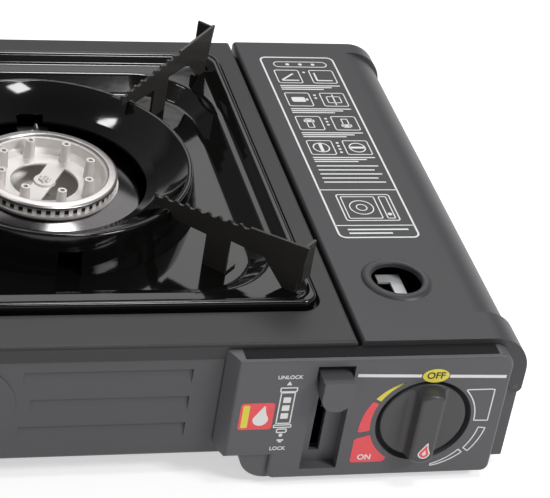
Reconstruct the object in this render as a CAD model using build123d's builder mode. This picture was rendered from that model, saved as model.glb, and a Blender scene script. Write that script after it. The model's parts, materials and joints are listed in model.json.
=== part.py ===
from build123d import *
from math import atan2, cos, degrees, hypot, radians, sin, sqrt
import os

os.makedirs("parts", exist_ok=True)

# Portable one-burner gas stove with a cartridge bay under a hinged lid.
# Millimetres, X to the right, Y to the back, Z up, origin under the middle of the whole stove.

# Pan and deck, seen from above
pan_width = 222.0
pan_depth = 230.6
pan_corner = 8.0
pan_gap = 2.0
left_strip = 11.0
right_strip = 10.5
front_strip = 24.7
back_strip = 16.7
seam_gap = 2.0
lid_width = 84.5
tray_width = 125.0
sheet = 1.0
deck_corner = 6.0
edge_radius = 2.0
flange_height = 8.4
ledge_width = 7.0
ledge_drop = 4.0

# Heights
foot_height = 5.0
bay_height = 72.5
case_step = 8.2

# Clearances
clearance = 0.3
running_gap = 0.05
screw_gap = 0.1

# Pressed bars and the plain round boss on the front wall
louver_height = 8.7
louver_pitch = 15.4
louver_press = 2.0
louver_mid_height = 30.1
louver_end_gap = 37.5
louver_left_margin = 9.0
emblem_from_left = 67.4
emblem_radius = 24.0
emblem_rise = 0.8
emblem_margin = 6.4

# Drip pan
crest_rise = 4.0
crest_width = 3.5
crest_slope = 4.5
land_drop = 0.5
land_side_width = 3.0
land_end_width = 8.0
basin_slope = 10.0
basin_depth = 8.0
basin_corner = 40.0
pan_hole_radius = 66.0
foot_band = 12.0

# Wind ring
ring_foot_radius = 76.0
ring_rim_radius = 71.7
ring_rim_rise = 12.3
ring_bore_radius = 50.2
ring_bore_rise = -0.4
ring_lip = 1.2
ring_crest = 1.4
ring_window_width = 14.0
ring_window_depth = 3.5

# Pan supports
support_sheet = 1.4
support_inner_radius = 63.0
support_tip_radius = 148.5
support_inner_rise = 18.0
support_tip_rise = 26.5
support_serrated_radius = 119.0
support_tooth_pitch = 6.0
support_tooth_radius = 2.6
support_tooth_depth = 1.5
support_web_rise = 9.0
support_web_out_rise = 11.5
support_leg_start = 94.0
support_leg_width = 13.0
support_foot_length = 9.0
support_arch_start = 126.0
support_end_foot = 6.5
support_flange = 8.5
support_flange_drop = 20.0

# Burner
burner_top_rise = 5.3
head_radius = 36.3
head_rim_rise = 3.9
head_rim_height = 2.8
head_rim_inner = 29.5
head_dish_radius = 27.5
head_dish_depth = 6.0
head_dish_sheet = 1.4
head_wall_radius = 34.4
head_wall = 2.4
head_port_count = 48
head_port_width = 2.4
head_port_height = 2.6
head_seat_drop = 1.9
post_count = 8
post_circle = 23.2
post_radius = 2.4
post_bore = 1.1
post_bore_depth = 5.0
post_phase = 10.5
hub_radius = 5.8
hub_rise = 1.2
spoke_width = 9.0
spoke_angle = 60.0
air_radius = 16.6
base_height = 25.6
base_foot_radius = 16.0
base_wall = 3.0
base_flange = 1.0
base_neck_radius = 33.0
base_shoulder = 2.0
dish_drop = 4.5
dish_radius = 58.0
dish_skirt = 2.5
tube_radius = 8.0
tube_wall = 1.5
tube_drop = 20.5
tube_start = 40.0
tube_end = 104.0
tube_bearing = -36.0
boss_start = 22.0
jet_radius = 5.0
jet_length = 12.0
jet_tip_radius = 2.5
jet_tip_length = 6.0
jet_gap = 2.0
bracket_sheet = 1.2
bracket_half_width = 11.0
bracket_half_length = 22.0
bracket_foot = 10.0
electrode_side = 2.0
electrode_circle = 45.0
electrode_radius = 3.0
electrode_length = 21.0
electrode_tip_radius = 0.8
electrode_tip_rise = 5.5
electrode_tip_reach = 5.5
electrode_collar = 1.6
electrode_collar_height = 8.0
electrode_plate_sheet = 1.2
electrode_plate_half = 8.0

# Control panel
panel_depth = 9.2
panel_wall = 2.2
panel_overhang = 23.5
panel_side_slope = 4.5
panel_right_margin = 11.4
panel_top_drop = 3.0
panel_notch_rise = 14.0
panel_notch_sink = 2.0
panel_step_right = 2.5
panel_corner = 7.0
panel_foot_corner = 4.0
panel_edge = 1.6
channel_left = 7.5
channel_right = 10.5
channel_depth = 6.0
channel_bottom_rise = 5.5
channel_top_drop = 7.0
slot_half_width = 2.5
slot_bottom_rise = 12.0
slot_top_drop = 15.5
boss_radius = 3.6
boss_side_inset = 7.0
boss_left_inset = 32.5
boss_low_rise = 7.0
boss_high_drop = 13.5
screw_radius = 1.6
screw_head_radius = 3.0
screw_head_height = 1.8
screw_grip = 8.5

# Gas cartridge that the bay takes
cartridge_radius = 33.3
cartridge_length = 184.0
cartridge_floor_gap = 1.9

# Knob, spindle and igniter
knob_side = 6.0
knob_drop = 3.9
recess_radius = 23.4
recess_depth = 3.4
knob_gap = 2.2
knob_back_gap = 0.6
knob_reach = 8.0
knob_disc = 2.4
grip_half_width = 5.6
grip_slant = 2.5
grip_root = 4.0
grip_edge = 1.4
spindle_radius = 3.0
spindle_grip = 9.0
spindle_hole = 5.0
knob_turn = 130.0
cam_radius = 8.0
cam_rise = 4.0
cam_thickness = 4.4
cam_setback = 6.2
cam_gap = 0.5
cam_steps = 8
igniter_gap = 5.0
igniter_length = 24.0
igniter_height = 12.0
igniter_thickness = 8.8
plunger_radius = 2.5
plunger_hold = 7.0
lead_radius = 1.3
lead_bend = 9.0
lead_rise = 3.9
lead_setback = 9.2
lead_hole = 2.6
lead_end_inset = 6.0

# Regulator and cartridge guide
regulator_radius = 17.0
regulator_length = 17.0
cap_radius = 19.0
cap_height = 4.0
bonnet_radius = 7.0
bonnet_length = 6.0
nose_radius = 10.0
nose_length = 22.0
inlet_radius = 2.1
inlet_depth = 8.0
seal_bore = 2.6
seal_radius = 6.0
seal_height = 1.5
outlet_radius = 4.0
outlet_length = 20.7
outlet_drop = 13.2
outlet_setback = 9.0
ear_half_length = 24.0
ear_half_height = 8.0
ear_thickness = 2.0
guide_half_width = 25.0
guide_sheet = 1.2
guide_top_drop = 7.3
guide_from_nose = 14.0
guide_foot = 12.8
guide_strip_width = 6.0
guide_strip_side = 6.7
guide_strip_length = 22.0
guide_head_width = 12.0
guide_head_length = 6.0
guide_key = 4.5
pipe_radius = 2.5
pipe_bend = 6.0
pipe_hole = 3.5

# Lock lever and cartridge slider
lever_inset = 13.0
lever_sheet = 3.0
lever_pivot_setback = 49.2
lever_pivot_rise = 38.0
lever_reach = 50.0
lever_half_travel = 15.0
lever_bar = 7.0
lever_end = 53.5
drive_arm = 16.0
pivot_radius = 2.0
pivot_collar = 4.0
pivot_head = 1.7
tab_width = 15.0
tab_height = 16.0
tab_side = 1.8
tab_reach = 7.8
spring_sheet = 0.8
spring_length = 20.0
spring_height = 10.0
spring_tab = 5.7
slider_sheet = 1.5
slider_width = 9.0
slider_gap = 3.0
slider_ear_half = 7.0
slider_ear_rise = 7.5
slider_stop_height = 49.0
slider_stop_width = 67.5
slider_play = 0.2
rivet_head_radius = 3.4
rivet_head_height = 1.2
rivet_front_setback = 105.0
rivet_spacing = 110.0

# Lid
lid_sheet = 1.0
lid_end_gap = 0.4
wall_inset = 1.7
lid_roll = 2.0
shoulder_end = 19.0
shoulder_middle = 24.0
front_band = 21.0
back_band = 10.0
lid_band = 7.0
hinge_inset = 3.2
hinge_drop = 29.0
hinge_pin_radius = 1.5
hinge_pin_length = 5.6
lid_open = 105.0
side_wall_play = 0.7
gutter_rise = 8.0
ear_relief = 4.0
sight_side = 30.0
sight_from_front = 48.6
sight_radius = 12.8
sight_rim = 3.4
sight_rim_rise = 1.0

# Feet, tray flange and base screws
foot_radius = 9.0
foot_taper = 1.0
foot_inset = 20.0
tray_flange = 12.0
base_screw_count = 4
base_screw_inset = 6.0
base_screw_length = 4.3

# Places that follow from the sizes above
opening_width = pan_width + 2 * pan_gap
opening_depth = pan_depth + 2 * pan_gap
opening_corner = pan_corner + pan_gap
body_width = left_strip + opening_width + right_strip + seam_gap + lid_width
body_depth = front_strip + opening_depth + back_strip
x_left = -body_width / 2
x_right = body_width / 2
y_back = (body_depth + panel_depth + knob_reach) / 2
y_front = y_back - body_depth
panel_face = y_front - panel_depth
deck_z = foot_height + bay_height
tray_z = foot_height
tray_floor = tray_z + sheet
case_z = tray_z + case_step
case_floor = case_z + sheet
deck_right = x_left + left_strip + opening_width + right_strip
lid_left = deck_right + seam_gap
tray_left = x_right - tray_width
tray_right = x_right - lid_sheet - clearance
tray_front = y_front + wall_inset
tray_back = y_back - wall_inset
burner_x = x_left + left_strip + opening_width / 2
burner_y = y_front + front_strip + opening_depth / 2
ledge_z = deck_z - ledge_drop
crest_z = deck_z + crest_rise
land_z = deck_z - land_drop
pan_floor = deck_z - basin_depth
partition_x = deck_right - 2 * sheet
bay_left = deck_right
bay_right = tray_right - sheet
cartridge_x = (bay_left + bay_right) / 2
cartridge_z = tray_floor + cartridge_floor_gap + cartridge_radius
knob_x = cartridge_x - knob_side
knob_z = cartridge_z - knob_drop
head_seat = deck_z - head_seat_drop
dish_z = deck_z - dish_drop
base_bottom = head_seat - base_height
tube_z = deck_z - tube_drop
hinge_x = x_right - hinge_inset
hinge_z = deck_z - hinge_drop
lever_x = deck_right - lever_inset
pivot_y = panel_face + lever_pivot_setback
pivot_z = tray_z + lever_pivot_rise
lever_angle = degrees(atan2(lever_half_travel, lever_reach))
drive_y = pivot_y + drive_arm * sin(radians(lever_angle))
drive_z = pivot_z + drive_arm * cos(radians(lever_angle))
slider_travel = 2 * drive_arm * sin(radians(lever_angle))
cap_front = tray_front + sheet + igniter_thickness + 2 * clearance
body_front = cap_front + cap_height
body_back = body_front + regulator_length
nose_back = body_back + nose_length
guide_y = nose_back - guide_from_nose
burner_axis = Axis((burner_x, burner_y, 0), (0, 0, 1))
burner_section = Plane(origin=(burner_x, burner_y, 0), x_dir=(1, 0, 0), z_dir=(0, -1, 0))


def block(x, y, z, mode=Mode.ADD):
    """A box between a pair of limits along each axis."""
    with Locations(((x[0] + x[1]) / 2, (y[0] + y[1]) / 2, (z[0] + z[1]) / 2)):
        Box(x[1] - x[0], y[1] - y[0], z[1] - z[0], mode=mode)


def rod(radius, start, end, mode=Mode.ADD):
    """A round bar, or a round hole, from one point to another."""
    along = Vector(*end) - Vector(*start)
    with BuildSketch(Plane(origin=start, z_dir=along)) as end_face:
        Circle(radius)
    extrude(end_face.sketch, amount=along.length, mode=mode)


def front_plane(y):
    """The upright plane at depth y, with X to the right, Z up and its normal to the front."""
    return Plane(origin=(0, y, 0), x_dir=(1, 0, 0), z_dir=(0, -1, 0))


def plan_sheet(x, y, corner):
    """A plan rectangle whose two left corners are rounded."""
    with Locations(((x[0] + x[1]) / 2, (y[0] + y[1]) / 2)):
        Rectangle(x[1] - x[0], y[1] - y[0])
    fillet(vertices().group_by(Axis.X)[0], corner)


def pan_plan(side_inset, corner, end_inset=None):
    """A rounded rectangle about the burner, drawn in from the pan's sides and its front and back ends."""
    ends = side_inset if end_inset is None else end_inset
    with Locations((burner_x, burner_y)):
        RectangleRounded(pan_width - 2 * side_inset, pan_depth - 2 * ends, corner)


def save(piece, name):
    """Names a finished piece and writes it."""
    piece.part.label = name
    export_step(piece.part, f"parts/{name}.step")


# Top plate: pressed steel deck with folded edges and a sunk ledge that carries the pan
with BuildPart() as top_plate:
    with BuildSketch(Plane.XY.offset(deck_z - flange_height)):
        plan_sheet((x_left, deck_right), (y_front, y_back), deck_corner)
    extrude(amount=flange_height)
    fillet(top_plate.faces().sort_by(Axis.Z)[-1].edges(), edge_radius)
    with BuildSketch(Plane.XY.offset(deck_z - flange_height)):
        inner_x = (x_left + sheet, deck_right - sheet)
        plan_sheet(inner_x, (y_front + sheet, y_back - sheet), deck_corner - sheet)
    extrude(amount=flange_height - sheet, mode=Mode.SUBTRACT)
    with BuildSketch(Plane.XY.offset(ledge_z - sheet)):
        pan_plan(-pan_gap - sheet, opening_corner + sheet)
    extrude(amount=ledge_drop)
    with BuildSketch(Plane.XY.offset(ledge_z)):
        pan_plan(-pan_gap, opening_corner)
    extrude(amount=ledge_drop, mode=Mode.SUBTRACT)
    with BuildSketch(Plane.XY.offset(ledge_z - sheet)):
        pan_plan(ledge_width - pan_gap, opening_corner)
    extrude(amount=sheet, mode=Mode.SUBTRACT)
save(top_plate, "top_plate")

# Body case: left half of the pressed body, with three louver bars beside a plain round boss
wall_y = y_front + sheet
emblem_x = x_left + emblem_from_left
louver_z = case_z + louver_mid_height
with BuildPart() as body_case:
    case_x = (x_left + sheet, tray_left)
    with BuildSketch(Plane.XY.offset(case_z)):
        plan_sheet(case_x, (wall_y, y_back - sheet), deck_corner - sheet)
    extrude(amount=deck_z - sheet - case_z)
    bottom_edges = body_case.faces().sort_by(Axis.Z)[0].edges().sort_by(Axis.X)
    fillet(bottom_edges[:-1], edge_radius)
    with BuildSketch(Plane.XY.offset(case_floor)):
        hollow_x = (x_left + 2 * sheet, tray_left + sheet)
        plan_sheet(hollow_x, (wall_y + sheet, y_back - 2 * sheet), deck_corner - 2 * sheet)
    extrude(amount=deck_z - case_floor, mode=Mode.SUBTRACT)
    for step in (-1, 0, 1):
        bar_mid = louver_z + step * louver_pitch
        bar_z = (bar_mid - louver_height / 2, bar_mid + louver_height / 2)
        reach = sqrt((emblem_radius + emblem_margin) ** 2 - (step * louver_pitch) ** 2)
        right_bar = (emblem_x + reach, tray_left - louver_end_gap)
        left_bar = (x_left + louver_left_margin, emblem_x - reach)
        for bar_x in (right_bar, left_bar):
            backing_y = (wall_y + sheet, wall_y + sheet + louver_press)
            block((bar_x[0] - sheet, bar_x[1] + sheet), backing_y, (bar_z[0] - sheet, bar_z[1] + sheet))
            with BuildSketch(Plane.YZ.offset(bar_x[0])):
                with BuildLine():
                    wedge_top = (wall_y + louver_press, bar_z[1])
                    Polyline((wall_y, bar_z[0]), (wall_y, bar_z[1]), wedge_top, close=True)
                make_face()
            extrude(amount=bar_x[1] - bar_x[0], mode=Mode.SUBTRACT)
    rod(emblem_radius, (emblem_x, wall_y, louver_z), (emblem_x, wall_y - emblem_rise, louver_z))
    for n in range(base_screw_count):
        screw_y = tray_front + (n + 0.5) * (tray_back - tray_front) / base_screw_count
        screw_x = tray_left - base_screw_inset
        rod(screw_radius + screw_gap, (screw_x, screw_y, case_z), (screw_x, screw_y, case_floor),
            mode=Mode.SUBTRACT)
save(body_case, "body_case")

# Cartridge tray: deeper right half of the body, low on its outer side where the lid's wall swings
tray_top = deck_z - flange_height - clearance
open_run = (tray_right - hinge_x - hinge_inset * cos(radians(lid_open))) / sin(radians(lid_open))
open_drop = hinge_inset * sin(radians(lid_open)) - open_run * cos(radians(lid_open))
side_wall_top = hinge_z - open_drop - side_wall_play
channel_x = (lever_x - channel_left, lever_x + channel_right)
channel_z = (tray_z + channel_bottom_rise, deck_z - channel_top_drop)
slot_z = (tray_z + slot_bottom_rise, deck_z - slot_top_drop)
panel_left = tray_left - panel_overhang
panel_right = x_right - panel_right_margin
panel_top = deck_z - panel_top_drop
boss_columns = (panel_left + boss_left_inset, panel_right - boss_side_inset)
boss_rows = (tray_z + boss_low_rise, deck_z - boss_high_drop)
boss_spots = [(x, z) for x in boss_columns for z in boss_rows]
with BuildPart() as cartridge_tray:
    block((tray_left, tray_right), (tray_front, tray_back), (tray_z, tray_top))
    fillet(cartridge_tray.faces().sort_by(Axis.Z)[0].edges(), edge_radius)
    inside_y = (tray_front + sheet, tray_back - sheet)
    block((tray_left + sheet, bay_right), inside_y, (tray_floor, tray_top), mode=Mode.SUBTRACT)
    block((bay_right, tray_right), inside_y, (side_wall_top, tray_top), mode=Mode.SUBTRACT)
    block((tray_left, tray_left + sheet), inside_y, (case_z, tray_top), mode=Mode.SUBTRACT)
    flange_x = (tray_left - tray_flange, tray_left + sheet)
    block(flange_x, inside_y, (case_z - sheet, case_z))
    gutter_x = hinge_x - hinge_inset - 2 * clearance
    block((gutter_x - sheet, tray_right), inside_y, (side_wall_top - sheet, side_wall_top))
    block((gutter_x - sheet, gutter_x), inside_y, (side_wall_top - sheet, side_wall_top + gutter_rise))
    with BuildSketch(front_plane(tray_back)):
        shoulder_x, shoulder_z = x_right - shoulder_end, deck_z - shoulder_end
        with Locations((shoulder_x, shoulder_z)):
            Rectangle(shoulder_end, shoulder_end, align=(Align.MIN, Align.MIN))
            Circle(shoulder_end - lid_sheet - 2 * clearance, mode=Mode.SUBTRACT)
    extrude(amount=tray_back - tray_front, mode=Mode.SUBTRACT)
    for n in range(base_screw_count):
        screw_y = tray_front + (n + 0.5) * (tray_back - tray_front) / base_screw_count
        screw_x = tray_left - base_screw_inset
        rod(screw_radius + screw_gap, (screw_x, screw_y, case_z - sheet), (screw_x, screw_y, case_z),
            mode=Mode.SUBTRACT)
    front_wall = (tray_front, tray_front + sheet)
    rod(spindle_hole, (knob_x, front_wall[0], knob_z), (knob_x, front_wall[1], knob_z), mode=Mode.SUBTRACT)
    wall_slot_x = (lever_x - slot_half_width - sheet, lever_x + slot_half_width + sheet)
    block(wall_slot_x, front_wall, (slot_z[0] - sheet, slot_z[1] + sheet), mode=Mode.SUBTRACT)
    for x, z in boss_spots:
        rod(screw_radius + screw_gap, (x, front_wall[0], z), (x, front_wall[1], z), mode=Mode.SUBTRACT)
    for y in (tray_front, tray_back - sheet):
        rod(hinge_pin_radius, (hinge_x, y, hinge_z), (hinge_x, y + sheet, hinge_z), mode=Mode.SUBTRACT)
save(cartridge_tray, "cartridge_tray")

# Partition wall: zinc-plated sheet between burner and cartridge, holed for pipe, lead and lever pin
outlet_y = body_front + outlet_setback
outlet_z = cartridge_z - outlet_drop
lead_height = tray_floor + lead_rise
lead_y = tray_front + lead_setback
with BuildPart() as partition_wall:
    partition_y = (tray_front + sheet, tray_back - sheet)
    block((partition_x, partition_x + sheet), partition_y, (tray_floor, tray_top))
    upper_y = (y_front + sheet, y_back - sheet)
    block((partition_x, partition_x + sheet), upper_y, (tray_top, deck_z - sheet))
    block((partition_x - tray_flange, partition_x), partition_y, (tray_floor, tray_floor + sheet))
    through = (partition_x, partition_x + sheet)
    rod(pipe_hole, (through[0], outlet_y, outlet_z), (through[1], outlet_y, outlet_z), mode=Mode.SUBTRACT)
    rod(lead_hole, (through[0], lead_y, lead_height), (through[1], lead_y, lead_height), mode=Mode.SUBTRACT)
    pin_room = pivot_radius + 2 * clearance
    pin_y = (drive_y - slider_travel - pin_room, drive_y + pin_room)
    pin_z = (drive_z - pin_room, pivot_z + drive_arm + pin_room)
    block(through, pin_y, pin_z, mode=Mode.SUBTRACT)
save(partition_wall, "partition_wall")

# Control panel: moulded cover in front of the regulator, with lever channel and knob recess
panel_notch = tray_z + panel_notch_rise
panel_step = tray_left + panel_step_right


def panel_outline(inset, left):
    """The panel's front outline from a left limit, drawn in evenly on its other sides."""
    right = panel_right - inset
    low, high = tray_z + inset, panel_top - inset
    notch, step = panel_notch + inset, panel_step + inset
    with BuildLine() as outline:
        Polyline(
            (left, notch),
            (left, high),
            (right, high),
            (right, low),
            (step, low),
            (step, notch),
            close=True,
        )
    make_face(outline.edges())
    fillet(vertices().sort_by_distance((right, high))[0], panel_corner - inset)
    fillet(vertices().sort_by_distance((right, low))[0], panel_foot_corner - inset / 2)
    fillet(vertices().sort_by_distance((left, notch))[0], panel_foot_corner - inset / 2)
    fillet(vertices().sort_by_distance((step, low))[0], panel_foot_corner - inset / 2)


recess_floor = panel_face + recess_depth
channel_floor = panel_face + channel_depth
with BuildPart() as control_panel:
    with BuildSketch(front_plane(y_front)):
        panel_outline(0, panel_left)
    extrude(amount=panel_depth)
    face_left = panel_left + panel_side_slope
    with BuildSketch(Plane.XY.offset(tray_z)):
        with BuildLine():
            Polyline((panel_left, y_front), (panel_left, panel_face), (face_left, panel_face), close=True)
        make_face()
    extrude(amount=panel_top - tray_z, mode=Mode.SUBTRACT)
    fillet(control_panel.faces().sort_by(Axis.Y)[0].edges(), panel_edge)
    with BuildSketch(front_plane(y_front)):
        panel_outline(panel_wall, face_left + panel_wall)
    extrude(amount=panel_depth - panel_wall, mode=Mode.SUBTRACT)
    with BuildSketch(front_plane(y_front)):
        with Locations((panel_step, panel_notch)):
            Circle(panel_notch_rise)
        with Locations((panel_step + panel_wall, panel_notch + panel_wall)):
            corner_side = panel_notch_rise + panel_wall
            Rectangle(corner_side, corner_side, align=(Align.MAX, Align.MAX), mode=Mode.INTERSECT)
    extrude(amount=panel_depth - panel_notch_sink)
    box_x = (channel_x[0] - panel_wall, channel_x[1] + panel_wall)
    box_z = (channel_z[0] - panel_wall, panel_top - panel_wall)
    block(box_x, (panel_face + panel_wall, channel_floor + panel_wall), box_z)
    block(channel_x, (panel_face, channel_floor), channel_z, mode=Mode.SUBTRACT)
    slot_x = (lever_x - slot_half_width, lever_x + slot_half_width)
    block(slot_x, (channel_floor, channel_floor + panel_wall), slot_z, mode=Mode.SUBTRACT)
    rod(recess_radius + panel_wall, (knob_x, recess_floor + panel_wall, knob_z),
        (knob_x, panel_face + panel_wall, knob_z))
    rod(recess_radius, (knob_x, recess_floor, knob_z), (knob_x, panel_face, knob_z), mode=Mode.SUBTRACT)
    rod(spindle_hole, (knob_x, y_front, knob_z), (knob_x, panel_face, knob_z), mode=Mode.SUBTRACT)
    boss_front = panel_face + panel_wall
    for x, z in boss_spots:
        rod(boss_radius, (x, tray_front, z), (x, boss_front, z))
        rod(screw_radius + screw_gap, (x, tray_front, z), (x, boss_front, z), mode=Mode.SUBTRACT)
save(control_panel, "control_panel")

# Panel screws: from inside the tray's front wall into the panel's bosses
with BuildPart() as panel_screws:
    for x, z in boss_spots:
        head_y = tray_front + sheet
        rod(screw_head_radius, (x, head_y, z), (x, head_y + screw_head_height, z))
        rod(screw_radius, (x, head_y, z), (x, head_y - screw_grip, z))
save(panel_screws, "panel_screws")

# Base screws: join the tray's flange to the case floor from below
with BuildPart() as base_screws:
    for n in range(base_screw_count):
        screw_y = tray_front + (n + 0.5) * (tray_back - tray_front) / base_screw_count
        screw_x = tray_left - base_screw_inset
        head_z = case_z - sheet
        rod(screw_head_radius, (screw_x, screw_y, head_z), (screw_x, screw_y, head_z - screw_head_height))
        rod(screw_radius, (screw_x, screw_y, head_z), (screw_x, screw_y, head_z + base_screw_length))
save(base_screws, "base_screws")


def foot_pair(foot_x, height):
    """Two tapered rubber feet, one near the front and one near the back."""
    for foot_y in (y_front + foot_inset, y_back - foot_inset):
        with BuildSketch(Plane.XY) as lower:
            with Locations((foot_x, foot_y)):
                Circle(foot_radius - foot_taper)
        with BuildSketch(Plane.XY.offset(height)) as upper:
            with Locations((foot_x, foot_y)):
                Circle(foot_radius)
        loft(sections=[lower.sketch, upper.sketch])


# Feet: taller under the burner side, shorter under the deeper tray
with BuildPart() as feet_left:
    foot_pair(x_left + foot_inset, case_z)
save(feet_left, "feet_left")
with BuildPart() as feet_right:
    foot_pair(x_right - foot_inset, tray_z)
save(feet_right, "feet_right")

# Burner base: cast aluminium bowl with a shoulder for the dish and a boss for the mixing tube
tube_way = Vector(cos(radians(tube_bearing)), sin(radians(tube_bearing)), 0)


def along_tube(distance):
    """A point on the mixing tube's axis, measured from the burner's centre."""
    return (burner_x + distance * tube_way.X, burner_y + distance * tube_way.Y, tube_z)


shoulder_radius = base_neck_radius + base_shoulder
bowl_inner = base_neck_radius - base_flange
with BuildPart() as burner_base:
    with BuildSketch(burner_section):
        with BuildLine():
            Polyline(
                (0, base_bottom),
                (base_foot_radius, base_bottom),
                (base_foot_radius + base_wall, base_bottom + base_wall),
                (shoulder_radius, dish_z - base_shoulder - sheet),
                (shoulder_radius, dish_z - sheet),
                (base_neck_radius, dish_z - sheet),
                (base_neck_radius, head_seat - base_flange),
                (head_radius, head_seat - base_flange),
                (head_radius, head_seat),
                (bowl_inner, head_seat),
                (bowl_inner, dish_z - base_shoulder),
                (base_foot_radius, base_bottom + 2 * base_wall),
                (0, base_bottom + 2 * base_wall),
                close=True,
            )
        make_face()
    revolve(axis=burner_axis)
    rod(tube_radius, along_tube(boss_start), along_tube(tube_start))
    rod(tube_radius - tube_wall, along_tube(boss_start), along_tube(tube_start), mode=Mode.SUBTRACT)
save(burner_base, "burner_base")

# Burner head: cast ring with square ports below its rim, a dished middle, eight posts and a spoked hub
rim_z = deck_z + head_rim_rise
dish_floor = rim_z - head_dish_depth
post_top = deck_z + burner_top_rise
with BuildPart() as burner_head:
    with BuildSketch(burner_section):
        with BuildLine():
            Polyline(
                (0, dish_floor - head_dish_sheet),
                (head_dish_radius, dish_floor - head_dish_sheet),
                (head_rim_inner, rim_z - head_rim_height),
                (head_wall_radius - head_wall, rim_z - head_rim_height),
                (head_wall_radius - head_wall, head_seat),
                (head_wall_radius, head_seat),
                (head_wall_radius, rim_z - head_rim_height),
                (head_radius, rim_z - head_rim_height),
                (head_radius, rim_z),
                (head_rim_inner, rim_z),
                (head_dish_radius, dish_floor),
                (0, dish_floor),
                close=True,
            )
        make_face()
    revolve(axis=burner_axis)
    with BuildSketch(Plane.XY.offset(dish_floor - head_dish_sheet)):
        with Locations((burner_x, burner_y)):
            Circle(air_radius)
            Rectangle(2 * air_radius, spoke_width, rotation=spoke_angle, mode=Mode.SUBTRACT)
            Circle(hub_radius, mode=Mode.SUBTRACT)
    extrude(amount=head_dish_sheet, mode=Mode.SUBTRACT)
    rod(hub_radius, (burner_x, burner_y, dish_floor), (burner_x, burner_y, dish_floor + hub_rise))
    with BuildSketch(Plane.XY.offset(dish_floor - head_dish_sheet / 2)):
        with Locations((burner_x, burner_y)):
            with PolarLocations(post_circle, post_count, start_angle=post_phase):
                Circle(post_radius)
    extrude(amount=post_top - dish_floor + head_dish_sheet / 2)
    with BuildSketch(Plane.XY.offset(post_top - post_bore_depth)):
        with Locations((burner_x, burner_y)):
            with PolarLocations(post_circle, post_count, start_angle=post_phase):
                Circle(post_bore)
    extrude(amount=post_bore_depth, mode=Mode.SUBTRACT)
    with BuildSketch(Plane.XY.offset(head_seat)):
        with Locations((burner_x, burner_y)):
            with PolarLocations(head_wall_radius - head_wall / 2, head_port_count):
                Rectangle(2 * head_wall, head_port_width)
    extrude(amount=head_port_height, mode=Mode.SUBTRACT)
save(burner_head, "burner_head")

# Burner dish: enamelled plate that closes the pan's opening round the burner
electrode_x = burner_x + electrode_side
electrode_y = burner_y + electrode_circle
with BuildPart() as burner_dish:
    with BuildSketch(burner_section):
        with BuildLine():
            Polyline(
                (base_neck_radius + clearance, dish_z - sheet),
                (base_neck_radius + clearance, dish_z),
                (dish_radius, dish_z),
                (dish_radius, dish_z - dish_skirt),
                (dish_radius - sheet, dish_z - dish_skirt),
                (dish_radius - sheet, dish_z - sheet),
                close=True,
            )
        make_face()
    revolve(axis=burner_axis)
    hole_radius = electrode_radius + clearance
    rod(hole_radius, (electrode_x, electrode_y, dish_z - sheet), (electrode_x, electrode_y, dish_z),
        mode=Mode.SUBTRACT)
save(burner_dish, "burner_dish")

# Burner bracket: folded steel stand under the burner base
with BuildPart() as burner_bracket:
    bracket_x = (burner_x - bracket_half_width, burner_x + bracket_half_width)
    top_y = (burner_y - bracket_half_length, burner_y + bracket_half_length)
    block(bracket_x, top_y, (base_bottom - bracket_sheet, base_bottom))
    for side in (-1, 1):
        outer = burner_y + side * bracket_half_length
        leg_y = sorted((outer - side * bracket_sheet, outer))
        block(bracket_x, leg_y, (case_floor, base_bottom))
        foot_y = sorted((outer - side * bracket_sheet, outer + side * bracket_foot))
        block(bracket_x, foot_y, (case_floor, case_floor + bracket_sheet))
    for side in (-1, 1):
        spot_y = burner_y + side * (base_foot_radius - 2 * base_wall)
        rod(screw_radius + screw_gap, (burner_x, spot_y, base_bottom - bracket_sheet),
            (burner_x, spot_y, base_bottom), mode=Mode.SUBTRACT)
save(burner_bracket, "burner_bracket")

# Mixing tube: drawn tube from the jet to the burner base, open round the jet for air
with BuildPart() as mixing_tube:
    rod(tube_radius, along_tube(tube_start), along_tube(tube_end))
    rod(tube_radius - tube_wall, along_tube(tube_start), along_tube(tube_end), mode=Mode.SUBTRACT)
save(mixing_tube, "mixing_tube")

# Jet holder: brass body whose nozzle points into the mixing tube
jet_start = tube_end + jet_gap
jet_end = jet_start + jet_length
with BuildPart() as jet_holder:
    rod(jet_radius, along_tube(jet_start), along_tube(jet_end))
    rod(jet_tip_radius, along_tube(jet_start), along_tube(jet_start - jet_tip_length))
save(jet_holder, "jet_holder")

# Jet stirrup: folded strip that carries the jet holder from the mixing tube's end
stirrup_side = tube_radius + bracket_sheet
with BuildPart() as jet_stirrup:
    stirrup_start = tube_end - jet_length / 2
    rod(stirrup_side, along_tube(stirrup_start), along_tube(jet_end))
    rod(tube_radius, along_tube(stirrup_start), along_tube(jet_end - bracket_sheet), mode=Mode.SUBTRACT)
    rod(jet_radius, along_tube(jet_start), along_tube(jet_end), mode=Mode.SUBTRACT)
    with BuildSketch(Plane(origin=along_tube(tube_end), x_dir=(0, 0, 1), z_dir=tube_way)):
        Rectangle(tube_radius, 3 * tube_radius)
    extrude(amount=jet_gap + jet_length - bracket_sheet, mode=Mode.SUBTRACT)
save(jet_stirrup, "jet_stirrup")

# Electrode plate: small plate under the dish with a collar that grips the ceramic
with BuildPart() as electrode_plate:
    plate_top = dish_z - sheet
    plate_x = (electrode_x - electrode_plate_half, electrode_x + electrode_plate_half)
    plate_y = (electrode_y - electrode_plate_half, electrode_y + electrode_plate_half)
    block(plate_x, plate_y, (plate_top - electrode_plate_sheet, plate_top))
    collar_low = (electrode_x, electrode_y, plate_top - electrode_collar_height)
    rod(electrode_radius + electrode_collar, collar_low, (electrode_x, electrode_y, plate_top))
    rod(electrode_radius, collar_low, (electrode_x, electrode_y, plate_top), mode=Mode.SUBTRACT)
save(electrode_plate, "electrode_plate")

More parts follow.
